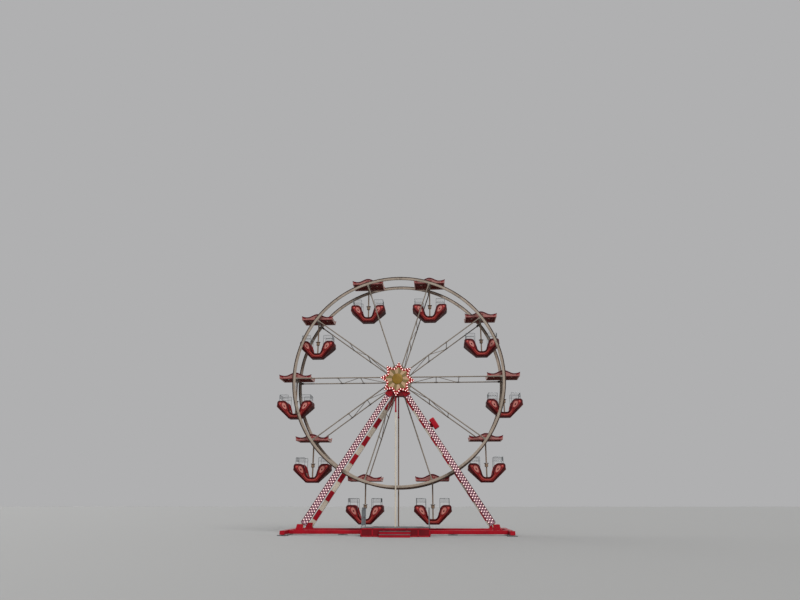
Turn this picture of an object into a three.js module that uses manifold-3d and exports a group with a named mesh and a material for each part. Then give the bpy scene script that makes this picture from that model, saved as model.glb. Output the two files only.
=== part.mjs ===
// A transportable ferris wheel with ten hanging cars, full size, in millimetres.
// The origin is on the ground under the wheel's centre. +X is to the right seen from the front,
// +Y runs along the axle from the front to the back, and +Z is up.
import * as THREE from "three";
import { mergeVertices } from "three/addons/utils/BufferGeometryUtils.js";
import Module from "manifold-3d";

const wasm = await Module();
wasm.setup();

// The gap that touching pieces keep, so that 32-bit meshes don't overlap.
const SEAT_GAP = 0.3;
// How far fused pieces run into each other.
const OVERLAP = 1;

// The wheel
const CAR_COUNT = 10;
const HUB_HEIGHT = 8750;
const RIM_RADIUS = 6250;
const RIM_SPACING = 1790;
const RIM_HEIGHT = 190;
const RIM_DEPTH = 80;
const RIM_SEGMENTS = 50;
const SPOKE_RADIUS = 35;
const BRACE_RADIUS = 22;
const CAR_AXLE_RADIUS = 34;
const INNER_STRUT_REACH = 0.36 * RIM_RADIUS;
const OUTER_STRUT_REACH = 0.577 * RIM_RADIUS;
const DIAGONAL_START = 90;
const DIAGONAL_CLEARANCE = 50;
const HUB_FLANGE_REACH = 700;
const HUB_DRUM_RADIUS = 240;
const HUB_SIDES = 12;
const COLLAR_RADIUS = 150;
const COLLAR_CLEARANCE = 8;
const SHAFT_RADIUS = 90;
const SHAFT_INSET = 20;
const SHAFT_SIDES = 24;
const CAR_AXLE_SIDES = 8;
const CLAMP_WIDTH = 110;
const CLAMP_LENGTH = 130;
const EAR_THICKNESS = 34;
const EAR_START = 30;
const EAR_OVERHANG = 14;

// The towers
const TOWER_Y = 1350;
const LEG_DEPTH = 160;
const LEG_APEX_DROP = 260;
const LEG_SLOPE = 0.655;
const HEAD_DEPTH = 260;
const HEAD_ARM_DEPTH = 220;
const HEAD_ARM_START = 120;
const BEARING_RADIUS = 330;
const BEARING_SIDES = 16;
const SADDLE_TOP_DROP = 300;
const SADDLE_WAIST_DROP = 560;
const SADDLE_HALF_WIDTH = 240;
const SADDLE_INSET = 30;
// The front head reaches further down than the back one, which it hides. The front legs are narrower, as
// the light boards cover them.
const TOWERS = {
  front: { y: -TOWER_Y, legWidth: 220, armWidth: 390, armLength: 1060, footDrop: 1200, footHalfWidth: 400 },
  back: { y: TOWER_Y, legWidth: 280, armWidth: 330, armLength: 580, footDrop: 800, footHalfWidth: 225 },
};
const POST_WIDTH = 80;
const POST_X = -110;
const LEG_SPARE = 200;
const BOARD_THICKNESS = 60;
const BOARD_TOP_GAP = 20;
const BOARD_FOOT_RISE = 320;
const BOARD_TOP_WIDTH = 290;
const BOARD_FOOT_WIDTH = 380;
const BOARD_INSET = 30;

// The star and the housing on the front tower
const STAR_DROP = 225;
const STAR_TURN = 0.096;
const STAR_TIP_RADIUS = 1040;
const STAR_VALLEY_RADIUS = 690;
const STAR_RAYS = 8;
const STAR_THICKNESS = 70;
const STAR_DISC_RADIUS = 320;
const STAR_DISC_DEPTH = 80;
const STAR_DISC_SIDES = 24;
const HOUSING_LENGTH = 650;
const HOUSING_THICKNESS = 300;
const HOUSING_CORE = 200;
const HOUSING_STEP = 60;
const BRACKET_LENGTH = 260;
const BRACKET_DEPTH = 100;
const HOUSING_REACH = 2926;
const HOUSING_OFFSET = 370;

// The base
const PAD_THICKNESS = 60;
const PAD_SIZE = 520;
const SILL_PADS_X = [-3000, 0, 3000];
const BEAM_HEIGHT = 200;
// The beam under the wheel is low, so that the tubs pass over it.
const MIDDLE_BEAM_TOP = 110;
const MIDDLE_PAD_THICKNESS = 40;
const SILL_WIDTH = 260;
const OUTRIGGER_X = 6080;
const OUTRIGGER_HALF_LENGTH = 2500;
const DECK_TOP = 430;
const DECK_HALF_WIDTH = 1800;
const DECK_NEAR_Y = -3300;
const BRIDGE_HALF_WIDTH = 1400;
const BRIDGE_FAR_Y = -740;
const POST_CLEARANCE = 20;
const STEP_HALF_WIDTH = 800;
const STEP_DEPTH = 310;
const RAIL_HEIGHT = 1000;
const RAIL_RADIUS = 21;
const RAIL_POST_WIDTH = 50;
const RAIL_SIDE_INSET = 60;
const RAIL_END_INSET = 80;
const RAIL_DROP = 30;

// A car, measured from its pivot
const CANOPY_HALF_WIDTH = 980;
const CANOPY_HALF_DEPTH = 625;
const CANOPY_FOOT = 42;
const CANOPY_LOW = 225;
const CANOPY_CREST = 200;
const CANOPY_END_RISE = 80;
const CANOPY_WAVE_END = 0.64;
const CANOPY_SHARES = [0, 0.32, 0.64, 1];
const CANOPY_TAPER = 30;
const CANOPY_END_WALL = 40;
const CANOPY_END_LIFT = 4;
const CEILING_FOOT = 140;
const CEILING_TOP = 175;
const BOARD_WALL = 40;
const SLEEVE_RADIUS = 58;
const SLEEVE_HALF_LENGTH = 260;
const WEB_FOOT = 44;
const WEB_HALF_THICKNESS = 30;
const WEB_INSET = 10;
const HANGER_POST_WIDTH = 90;
const POST_TOP = -44;
const TABLE_HALF_WIDTH = 150;
const TABLE_TOP = -1220;
const TABLE_FOOT = -1310;
const TUB_HALF_DEPTH = 440;
const TUB_FOOT_HALF_DEPTH = 230;
const TUB_FOOT_HALF_WIDTH = 345;
const TUB_CHEEK_X = 930;
const TUB_CHEEK_BEND_X = 1030;
const TUB_LEDGE_X = 1050;
const TUB_LOBE_FAR_X = 890;
const TUB_LOBE_NEAR_X = 530;
const TUB_LOBE_BEND_X = 375;
const TUB_NECK_X = 380;
const TUB_SILL_BEND_X = 310;
const TUB_SILL_X = 130;
const TUB_BOTTOM = -2300;
const TUB_FLOOR = -2250;
const TUB_SILL = -2010;
const TUB_KNEE = -1780;
const TUB_NECK = -1720;
const TUB_CHEEK = -1620;
const TUB_LEDGE = -1600;
const TUB_CHEEK_BEND = -1505;
const TUB_LOBE_FOOT = -1450;
const TUB_LOBE_SHOULDER = -1400;
const TUB_LOBE_TOP = -1250;
const TUB_FLARE = 25;
const SEAT_TOP = -1760;
const SEAT_NEAR_X = 380;
const SEAT_FAR_X = 780;
const SEAT_BACK_TOP = -1320;
const SEAT_BACK_INSET = 25;
const SEAT_BACK_WALL = 45;
const FOOTWELL_TAPER = 50;
const GUARD_TOP = -890;
const GUARD_MIDDLE = -1100;
const GUARD_BAR = 24;
const GUARD_NEAR_X = 400;
const GUARD_FAR_X = 930;

const UP = new THREE.Vector3(0, 1, 0);
const AXLE = new THREE.Vector3(0, 1, 0);

// The corner radius of a bore of a few sides, whose flats clear a shaft's corners by the seat gap.
const boreRadius = (shaftRadius, sides) => (shaftRadius + SEAT_GAP) / Math.cos(Math.PI / sides);

// A closed geometry as a manifold-3d solid.
function solidOf(geometry) {
  const bare = geometry.clone();
  bare.deleteAttribute("normal");
  bare.deleteAttribute("uv");
  const merged = mergeVertices(bare, 1e-3);
  return new wasm.Manifold(
    new wasm.Mesh({
      numProp: 3,
      vertProperties: merged.attributes.position.array,
      triVerts: new Uint32Array(merged.index.array),
    }),
  );
}

// A manifold-3d solid as a geometry.
function geometryOf(solid) {
  const { vertProperties, triVerts } = solid.getMesh();
  const geometry = new THREE.BufferGeometry();
  geometry.setAttribute("position", new THREE.BufferAttribute(vertProperties, 3));
  geometry.setIndex(new THREE.BufferAttribute(triVerts, 1));
  geometry.computeVertexNormals();
  return geometry;
}

// One geometry out of several that run into each other.
function fuse(...geometries) {
  return geometryOf(geometries.map(solidOf).reduce((whole, next) => whole.add(next)));
}

// A geometry with others cut out of it.
function cut(geometry, ...tools) {
  return geometryOf(tools.map(solidOf).reduce((rest, tool) => rest.subtract(tool), solidOf(geometry)));
}

// A box between two corners.
function block(x0, x1, y0, y1, z0, z1) {
  const box = new THREE.BoxGeometry(x1 - x0, y1 - y0, z1 - z0);
  return box.translate((x0 + x1) / 2, (y0 + y1) / 2, (z0 + z1) / 2);
}

// A round bar of few sides between two points.
function rod(from, to, radius, sides = 8) {
  const along = to.clone().sub(from);
  const round = new THREE.CylinderGeometry(radius, radius, along.length(), sides);
  round.applyQuaternion(new THREE.Quaternion().setFromUnitVectors(UP, along.normalize()));
  const middle = from.clone().add(to).multiplyScalar(0.5);
  return round.translate(middle.x, middle.y, middle.z);
}

// A square bar in a plane across the axle: `width` lies in that plane, and `depth` along the axle.
function bar(from, to, width, depth) {
  const along = to.clone().sub(from);
  const length = along.length();
  along.normalize();
  const across = along.clone().cross(AXLE).normalize();
  const beam = new THREE.BoxGeometry(width, depth, length);
  const turn = new THREE.Matrix4().makeBasis(across, along.clone().cross(across), along);
  turn.setPosition(from.clone().add(to).multiplyScalar(0.5));
  return beam.applyMatrix4(turn);
}

// A plate: an outline in the XZ plane that runs from y0 to y1.
function plate(outline, y0, y1, curveSegments = 4) {
  const slab = new THREE.ExtrudeGeometry(outline, { depth: y1 - y0, bevelEnabled: false, curveSegments });
  return slab.rotateX(Math.PI / 2).translate(0, y1, 0);
}

// An outline through a list of [x, z] points.
function outlineOf(points) {
  return new THREE.Shape(points.map(([x, z]) => new THREE.Vector2(x, z)));
}

// The outline of one half, from the middle outwards, with its mirror image.
function mirrored(half) {
  const other = half.map(([x, z]) => [-x, z]).reverse();
  return [...half, ...other].filter(([x, z], i, all) => {
    const [px, pz] = all[(i + all.length - 1) % all.length];
    return x !== px || z !== pz;
  });
}

// A point at a distance from the hub, on the spoke that stands at an angle.
function atSpoke(angle, reach, y) {
  return new THREE.Vector3(reach * Math.cos(angle), y, reach * Math.sin(angle));
}

const paint = (color, roughness = 0.55, metalness = 0.1) =>
  new THREE.MeshStandardMaterial({ color, roughness, metalness });
const CREAM = paint(0xcfc3ae);
const MAROON = paint(0x6d1420);
const SALMON = paint(0xb4645e);
const TOWER_RED = paint(0xa8101c);
const STEEL = paint(0x6e7074, 0.45, 0.7);
const BOARD_PINK = paint(0x8d5a60);
const DECK_GREY = paint(0x77797b, 0.6, 0.6);

function named(name, geometry, material) {
  const mesh = new THREE.Mesh(geometry, material);
  mesh.name = name;
  return mesh;
}

// One rim: a ring of rectangular section.
function rimGeometry() {
  const half = RIM_HEIGHT / 2;
  const face = RIM_DEPTH / 2;
  const profile = [
    [RIM_RADIUS - half, -face],
    [RIM_RADIUS + half, -face],
    [RIM_RADIUS + half, face],
    [RIM_RADIUS - half, face],
    [RIM_RADIUS - half, -face],
  ];
  // The ring's flats, not its corners, stand at these radii, and one of them faces each spoke.
  const halfSegment = Math.PI / RIM_SEGMENTS;
  const points = profile.map(([r, y]) => new THREE.Vector2(r / Math.cos(halfSegment), y));
  return new THREE.LatheGeometry(points, RIM_SEGMENTS);
}

// A four-sided brace of a spoke frame, between two reaches and depths on that spoke.
function brace(angle, fromReach, fromY, toReach, toY) {
  return rod(atSpoke(angle, fromReach, fromY), atSpoke(angle, toReach, toY), BRACE_RADIUS, 4);
}

// One spoke frame: a front and a back tube, two struts, two diagonals and the car's axle at the rim.
function spokeGeometry(angle) {
  const side = RIM_SPACING / 2;
  const inner = HUB_FLANGE_REACH + SEAT_GAP;
  const outer = RIM_RADIUS - RIM_HEIGHT / 2 - SEAT_GAP;
  const rimFace = side - RIM_DEPTH / 2 - SEAT_GAP;
  const earInner = rimFace - EAR_THICKNESS;
  const innerEnd = INNER_STRUT_REACH + DIAGONAL_CLEARANCE;
  const outerEnd = OUTER_STRUT_REACH - DIAGONAL_CLEARANCE;
  const pieces = [
    brace(angle, INNER_STRUT_REACH, -side, INNER_STRUT_REACH, side),
    brace(angle, OUTER_STRUT_REACH, -side, OUTER_STRUT_REACH, side),
    brace(angle, inner + DIAGONAL_START, side, INNER_STRUT_REACH - DIAGONAL_CLEARANCE, -side),
    brace(angle, innerEnd, -side, outerEnd, side),
    rod(
      atSpoke(angle, RIM_RADIUS, -rimFace),
      atSpoke(angle, RIM_RADIUS, rimFace),
      CAR_AXLE_RADIUS,
      CAR_AXLE_SIDES,
    ),
  ];
  for (const end of [-1, 1]) {
    pieces.push(rod(atSpoke(angle, inner, end * side), atSpoke(angle, outer, end * side), SPOKE_RADIUS, 6));
    const clampMiddle = (end * (earInner + side + SPOKE_RADIUS)) / 2;
    const clampDepth = side + SPOKE_RADIUS - earInner;
    pieces.push(
      bar(
        atSpoke(angle, outer - CLAMP_LENGTH, clampMiddle),
        atSpoke(angle, outer, clampMiddle),
        CLAMP_WIDTH,
        clampDepth,
      ),
    );
    const earMiddle = (end * (earInner + rimFace)) / 2;
    pieces.push(
      bar(
        atSpoke(angle, outer - CLAMP_LENGTH + EAR_START, earMiddle),
        atSpoke(angle, RIM_RADIUS + CAR_AXLE_RADIUS + EAR_OVERHANG, earMiddle),
        CLAMP_WIDTH,
        EAR_THICKNESS,
      ),
    );
  }
  return fuse(...pieces);
}

// The hub: a shaft through both towers, a drum and two ten-sided flanges that carry the spokes. The shaft
// is turned by half a side, so that its corners bear on the flats of the towers' bores.
function hubGeometry() {
  const flangeRadius = HUB_FLANGE_REACH / Math.cos(Math.PI / CAR_COUNT);
  const flange = (y) =>
    new THREE.CylinderGeometry(flangeRadius, flangeRadius, RIM_DEPTH, CAR_COUNT)
      .rotateY(Math.PI / 2 + Math.PI / CAR_COUNT)
      .translate(0, y, 0);
  const drum = new THREE.CylinderGeometry(HUB_DRUM_RADIUS, HUB_DRUM_RADIUS, RIM_SPACING, HUB_SIDES);
  const collarLength = 2 * (TOWER_Y - HEAD_DEPTH / 2 - COLLAR_CLEARANCE);
  const collar = new THREE.CylinderGeometry(COLLAR_RADIUS, COLLAR_RADIUS, collarLength, HUB_SIDES);
  const shaftLength = 2 * (TOWER_Y + HEAD_DEPTH / 2 - SHAFT_INSET);
  const shaft = new THREE.CylinderGeometry(SHAFT_RADIUS, SHAFT_RADIUS, shaftLength, SHAFT_SIDES);
  shaft.rotateY(Math.PI / SHAFT_SIDES);
  return fuse(shaft, collar, drum, flange(-RIM_SPACING / 2), flange(RIM_SPACING / 2));
}

// The height of the canopy's wavy edge over a point at a share u of its half width.
function canopyEdge(u) {
  const wave = CANOPY_WAVE_END;
  if (u < wave) return CANOPY_LOW + (CANOPY_CREST * (1 + Math.cos((Math.PI * u) / wave))) / 2;
  return CANOPY_LOW + CANOPY_END_RISE * ((u - wave) / (1 - wave)) ** 2;
}

// A car's canopy with its ceiling, the sleeve that hangs on the car's axle, and the post with its table.
function canopyGeometry() {
  const wide = CANOPY_HALF_WIDTH - CANOPY_TAPER;
  const edge = CANOPY_SHARES.map((u) => [u * CANOPY_HALF_WIDTH, canopyEdge(u)]);
  const fascia = outlineOf(mirrored([...edge, [wide, CANOPY_FOOT]]));
  const near = CANOPY_HALF_DEPTH;
  const inner = near - OVERLAP;
  // The bore's flats, not its corners, stand over the axle's corners.
  const halfSide = Math.PI / CAR_AXLE_SIDES;
  const sleeve = new THREE.Shape();
  sleeve.absarc(0, 0, SLEEVE_RADIUS, halfSide, 2 * Math.PI + halfSide);
  const bore = new THREE.Path();
  bore.absarc(0, 0, boreRadius(CAR_AXLE_RADIUS, CAR_AXLE_SIDES), halfSide, 2 * Math.PI + halfSide, false);
  sleeve.holes.push(bore);
  const ends = [-wide, wide - CANOPY_END_WALL].map((x) =>
    block(x, x + CANOPY_END_WALL, -inner, inner, CANOPY_FOOT + CANOPY_END_LIFT, CEILING_TOP),
  );
  const webHalf = WEB_HALF_THICKNESS;
  const webReach = SLEEVE_HALF_LENGTH - WEB_INSET;
  const postHalf = HANGER_POST_WIDTH / 2;
  return fuse(
    plate(fascia, -near, -near + BOARD_WALL),
    plate(fascia, near - BOARD_WALL, near),
    block(-wide, wide, -inner, inner, CEILING_FOOT, CEILING_TOP),
    ...ends,
    plate(sleeve, -SLEEVE_HALF_LENGTH, SLEEVE_HALF_LENGTH, CAR_AXLE_SIDES / 2),
    block(-webHalf, webHalf, -webReach, webReach, WEB_FOOT, CEILING_FOOT + OVERLAP),
    block(-postHalf, postHalf, -postHalf, postHalf, TUB_FLOOR + SEAT_GAP, POST_TOP),
    block(-TABLE_HALF_WIDTH, TABLE_HALF_WIDTH, -TABLE_HALF_WIDTH, TABLE_HALF_WIDTH, TABLE_FOOT, TABLE_TOP),
  );
}

// The outline of a tub's side board: a flat foot, flared ends and two rounded lobes with a sill between.
function tubBoardOutline() {
  const board = new THREE.Shape();
  board.moveTo(-TUB_FOOT_HALF_WIDTH, TUB_BOTTOM);
  board.lineTo(TUB_FOOT_HALF_WIDTH, TUB_BOTTOM);
  board.lineTo(TUB_CHEEK_X, TUB_CHEEK);
  board.quadraticCurveTo(TUB_CHEEK_BEND_X, TUB_CHEEK_BEND, TUB_LEDGE_X, TUB_LOBE_FOOT);
  board.lineTo(TUB_LEDGE_X, TUB_LOBE_SHOULDER);
  board.quadraticCurveTo(TUB_LEDGE_X, TUB_LOBE_TOP, TUB_LOBE_FAR_X, TUB_LOBE_TOP);
  board.lineTo(TUB_LOBE_NEAR_X, TUB_LOBE_TOP);
  board.quadraticCurveTo(TUB_LOBE_BEND_X, TUB_LOBE_TOP, TUB_NECK_X, TUB_NECK);
  board.quadraticCurveTo(TUB_SILL_BEND_X, TUB_SILL, TUB_SILL_X, TUB_SILL);
  board.lineTo(-TUB_SILL_X, TUB_SILL);
  board.quadraticCurveTo(-TUB_SILL_BEND_X, TUB_SILL, -TUB_NECK_X, TUB_NECK);
  board.quadraticCurveTo(-TUB_LOBE_BEND_X, TUB_LOBE_TOP, -TUB_LOBE_NEAR_X, TUB_LOBE_TOP);
  board.lineTo(-TUB_LOBE_FAR_X, TUB_LOBE_TOP);
  board.quadraticCurveTo(-TUB_LEDGE_X, TUB_LOBE_TOP, -TUB_LEDGE_X, TUB_LOBE_SHOULDER);
  board.lineTo(-TUB_LEDGE_X, TUB_LOBE_FOOT);
  board.quadraticCurveTo(-TUB_CHEEK_BEND_X, TUB_CHEEK_BEND, -TUB_CHEEK_X, TUB_CHEEK);
  return board;
}

// The guards over one end of the tub: a frame of bars over each side board, joined across the end.
function guardGeometries(side) {
  const half = GUARD_BAR / 2;
  const near = side * GUARD_NEAR_X;
  const far = side * GUARD_FAR_X;
  const depth = TUB_HALF_DEPTH - BOARD_WALL / 2;
  const [low, high] = [near, far].sort((a, b) => a - b);
  const frames = [-depth, depth].flatMap((y) => [
    block(near - half, near + half, y - half, y + half, TUB_LEDGE, GUARD_TOP),
    block(far - half, far + half, y - half, y + half, TUB_LEDGE, GUARD_TOP),
    block(low, high, y - half, y + half, GUARD_TOP - GUARD_BAR, GUARD_TOP),
    block(low, high, y - half, y + half, GUARD_MIDDLE - GUARD_BAR, GUARD_MIDDLE),
  ]);
  const across = [GUARD_TOP, GUARD_MIDDLE].map((z) =>
    block(far - half, far + half, -depth, depth, z - GUARD_BAR, z),
  );
  return [...frames, ...across];
}

// A solid whose depth shrinks below the knee by the same amount on both sides, down to the tub's foot.
function leanIn(geometry) {
  const points = geometry.attributes.position;
  for (let i = 0; i < points.count; i += 1) {
    const y = points.getY(i);
    const share = (TUB_KNEE - points.getZ(i)) / (TUB_KNEE - TUB_BOTTOM);
    points.setY(i, y - Math.sign(y) * share * (TUB_HALF_DEPTH - TUB_FOOT_HALF_DEPTH));
  }
  return geometry;
}

// A car's tub: floor, two benches with backs, two side boards that lean in under the seats, and the guards.
function tubGeometry() {
  const shell = mirrored([
    [TUB_FOOT_HALF_WIDTH, TUB_BOTTOM],
    [TUB_LEDGE_X + TUB_FLARE, TUB_LEDGE],
    [TUB_LEDGE_X - SEAT_BACK_INSET, SEAT_BACK_TOP],
    [TUB_LEDGE_X - SEAT_BACK_INSET - SEAT_BACK_WALL, SEAT_BACK_TOP],
    [SEAT_FAR_X, SEAT_TOP],
    [SEAT_NEAR_X, SEAT_TOP],
    [SEAT_NEAR_X - FOOTWELL_TAPER, TUB_FLOOR],
  ]);
  const inner = TUB_HALF_DEPTH - BOARD_WALL;
  const straight = fuse(
    plate(outlineOf(shell), -inner - OVERLAP, inner + OVERLAP),
    plate(tubBoardOutline(), -TUB_HALF_DEPTH, -inner, 3),
    plate(tubBoardOutline(), inner, TUB_HALF_DEPTH, 3),
    ...guardGeometries(-1),
    ...guardGeometries(1),
  );
  const wide = 2 * TUB_LEDGE_X;
  const below = block(-wide, wide, -wide, wide, TUB_BOTTOM - wide, TUB_KNEE - OVERLAP);
  const above = block(-wide, wide, -wide, wide, TUB_KNEE, wide);
  return fuse(cut(straight, below), leanIn(cut(straight, above)));
}

// The direction of a leg from the apex down to its foot, and a point on it.
const legLength = Math.hypot(1, LEG_SLOPE);
const apexHeight = HUB_HEIGHT - LEG_APEX_DROP;
function onLeg(side, reach, y) {
  return new THREE.Vector3((side * reach * LEG_SLOPE) / legLength, y, apexHeight - reach / legLength);
}

const beamTop = PAD_THICKNESS + BEAM_HEIGHT;

// One leg: a box beam from the head's arm down to the sill, cut level at its foot.
function legGeometry(side, { y, armLength, legWidth }) {
  const footReach = (apexHeight - beamTop) * legLength;
  const top = onLeg(side, armLength + SEAT_GAP, y);
  const beam = bar(top, onLeg(side, footReach + LEG_SPARE, y), legWidth, LEG_DEPTH);
  const footX = side * (apexHeight - beamTop) * LEG_SLOPE;
  const spare = 2 * LEG_SPARE;
  const below = beamTop - spare;
  const near = y - LEG_DEPTH;
  const far = y + LEG_DEPTH;
  return cut(beam, block(footX - spare, footX + spare, near, far, below, beamTop + SEAT_GAP));
}

// A tower's head: two arms that the legs hang from, a saddle over the post and the bearing with its bore.
function headGeometry({ y, armWidth, armLength, footDrop, footHalfWidth }) {
  const y0 = y - HEAD_DEPTH / 2;
  const y1 = y + HEAD_DEPTH / 2;
  const arms = [-1, 1].map((side) =>
    bar(onLeg(side, HEAD_ARM_START, y), onLeg(side, armLength, y), armWidth, HEAD_ARM_DEPTH),
  );
  const web = mirrored([
    [footHalfWidth, HUB_HEIGHT - footDrop],
    [SADDLE_HALF_WIDTH, HUB_HEIGHT - SADDLE_WAIST_DROP],
    [SADDLE_HALF_WIDTH, HUB_HEIGHT - SADDLE_TOP_DROP],
  ]);
  const saddle = plate(outlineOf(web), y0 + SADDLE_INSET, y1 - SADDLE_INSET);
  const bearing = new THREE.CylinderGeometry(BEARING_RADIUS, BEARING_RADIUS, HEAD_DEPTH, BEARING_SIDES);
  const boreCorner = boreRadius(SHAFT_RADIUS, SHAFT_SIDES);
  const bore = new THREE.CylinderGeometry(boreCorner, boreCorner, HEAD_DEPTH + 2 * OVERLAP, SHAFT_SIDES);
  for (const round of [bearing, bore]) round.translate(0, y, HUB_HEIGHT);
  return cut(fuse(...arms, saddle, bearing), bore);
}

// A light board: a tapered board on the front face of a leg, further over its inner side.
function lightBoardGeometry(side) {
  const face = -TOWER_Y - LEG_DEPTH / 2 - SEAT_GAP;
  const top = onLeg(side, TOWERS.front.armLength + BOARD_TOP_GAP, face);
  const foot = onLeg(side, (apexHeight - beamTop - BOARD_FOOT_RISE) * legLength, face);
  const across = new THREE.Vector2(1, side * LEG_SLOPE).normalize();
  const inset = side * BOARD_INSET;
  const corner = (point, half) => [
    point.x + across.x * (half - inset),
    point.z + across.y * (half - inset),
  ];
  const outline = outlineOf([
    corner(top, -BOARD_TOP_WIDTH / 2),
    corner(foot, -BOARD_FOOT_WIDTH / 2),
    corner(foot, BOARD_FOOT_WIDTH / 2),
    corner(top, BOARD_TOP_WIDTH / 2),
  ]);
  return plate(outline, face - BOARD_THICKNESS, face);
}

// The star in front of the head: eight rays behind a round boss, turned a little from upright.
function starGeometry() {
  const centre = HUB_HEIGHT - STAR_DROP;
  const rays = Array.from({ length: 2 * STAR_RAYS }, (_, i) => {
    const angle = (Math.PI * i) / STAR_RAYS + Math.PI / 2 - STAR_TURN;
    const radius = i % 2 ? STAR_VALLEY_RADIUS : STAR_TIP_RADIUS;
    return [radius * Math.cos(angle), centre + radius * Math.sin(angle)];
  });
  const back = -TOWER_Y - HEAD_DEPTH / 2 - SEAT_GAP;
  const front = back - STAR_THICKNESS;
  const reach = STAR_DISC_RADIUS;
  const disc = new THREE.CylinderGeometry(reach, reach, STAR_DISC_DEPTH, STAR_DISC_SIDES);
  disc.translate(0, front - STAR_DISC_DEPTH / 2 + OVERLAP, centre);
  return fuse(plate(outlineOf(rays), front, back), disc);
}

// The housing on the right leg's upper side: a box with cut corners on a bracket from the leg.
function housingGeometry() {
  const out = new THREE.Vector3(1, 0, LEG_SLOPE).normalize();
  const offLeg = (reach, offset) => onLeg(1, reach, -TOWER_Y).addScaledVector(out, offset);
  const end = HOUSING_REACH + HOUSING_LENGTH;
  const middle = HOUSING_REACH + HOUSING_LENGTH / 2;
  const bracketFoot = offLeg(middle, TOWERS.front.legWidth / 2 + SEAT_GAP);
  return fuse(
    bar(
      offLeg(HOUSING_REACH + HOUSING_STEP, HOUSING_OFFSET),
      offLeg(end - HOUSING_STEP, HOUSING_OFFSET),
      HOUSING_THICKNESS,
      HOUSING_THICKNESS,
    ),
    bar(offLeg(HOUSING_REACH, HOUSING_OFFSET), offLeg(end, HOUSING_OFFSET), HOUSING_CORE, HOUSING_CORE),
    bar(bracketFoot, offLeg(middle, HOUSING_OFFSET), BRACKET_LENGTH, BRACKET_DEPTH),
  );
}

// A sill under one tower, with three pads on the ground.
function sillGeometry(y) {
  const half = SILL_WIDTH / 2;
  const end = OUTRIGGER_X - SILL_WIDTH / 2 - SEAT_GAP;
  const deep = half - OVERLAP;
  const pads = SILL_PADS_X.map((x) =>
    block(x - PAD_SIZE / 2, x + PAD_SIZE / 2, y - deep, y + deep, 0, PAD_THICKNESS + OVERLAP),
  );
  return fuse(block(-end, end, y - half, y + half, PAD_THICKNESS, beamTop), ...pads);
}

// The beam between the sills, under the wheel, with a pad at the origin.
function middleBeamGeometry() {
  const half = SILL_WIDTH / 2;
  const end = TOWER_Y - half - SEAT_GAP;
  return fuse(
    block(-half, half, -end, end, MIDDLE_PAD_THICKNESS, MIDDLE_BEAM_TOP),
    block(-half + OVERLAP, half - OVERLAP, -PAD_SIZE / 2, PAD_SIZE / 2, 0, MIDDLE_PAD_THICKNESS + OVERLAP),
  );
}

// An outrigger across the end of both sills, with a pad at each end.
function outriggerGeometry(side) {
  const x = side * OUTRIGGER_X;
  const half = SILL_WIDTH / 2;
  const reach = OUTRIGGER_HALF_LENGTH;
  const pads = [-reach, reach - PAD_SIZE].map((y) =>
    block(x - PAD_SIZE / 2, x + PAD_SIZE / 2, y, y + PAD_SIZE, 0, PAD_THICKNESS + OVERLAP),
  );
  return fuse(block(x - half, x + half, -reach, reach, PAD_THICKNESS, beamTop), ...pads);
}

// The loading deck: a closed box, as its skirt reaches the ground all round, and a bridge over the sill
// up to the cars, with a hole that the tower's post passes through.
const deckFarY = -TOWER_Y - SILL_WIDTH / 2 - SEAT_GAP;
function deckGeometry() {
  const wide = BRIDGE_HALF_WIDTH;
  const holeHalf = POST_WIDTH / 2 + POST_CLEARANCE;
  return cut(
    fuse(
      block(-DECK_HALF_WIDTH, DECK_HALF_WIDTH, DECK_NEAR_Y, deckFarY, 0, DECK_TOP),
      block(-wide, wide, deckFarY - OVERLAP, BRIDGE_FAR_Y, beamTop + SEAT_GAP, DECK_TOP),
    ),
    block(POST_X - holeHalf, POST_X + holeHalf, -TOWER_Y - holeHalf, -TOWER_Y + holeHalf, 0, 2 * DECK_TOP),
  );
}

// Two steps up to the deck.
function stepsGeometry() {
  const back = DECK_NEAR_Y - SEAT_GAP;
  const rise = DECK_TOP / 3;
  return fuse(
    block(-STEP_HALF_WIDTH, STEP_HALF_WIDTH, back - STEP_DEPTH - OVERLAP, back, 0, 2 * rise),
    block(-STEP_HALF_WIDTH, STEP_HALF_WIDTH, back - 2 * STEP_DEPTH, back - STEP_DEPTH, 0, rise),
  );
}

// A handrail along one end of the deck: two uprights, a top rail and a middle rail.
function railGeometry(side) {
  const x = side * (DECK_HALF_WIDTH - RAIL_SIDE_INSET);
  const foot = DECK_TOP + SEAT_GAP;
  const top = DECK_TOP + RAIL_HEIGHT;
  const near = DECK_NEAR_Y + RAIL_END_INSET;
  const far = deckFarY - RAIL_END_INSET;
  const half = RAIL_POST_WIDTH / 2;
  const uprights = [near, far].map((y) => block(x - half, x + half, y - half, y + half, foot, top));
  const rails = [top - RAIL_DROP, DECK_TOP + RAIL_HEIGHT / 2].map((z) =>
    rod(new THREE.Vector3(x, near, z), new THREE.Vector3(x, far, z), RAIL_RADIUS, 6),
  );
  return fuse(...uprights, ...rails);
}

const part = new THREE.Group();

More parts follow.
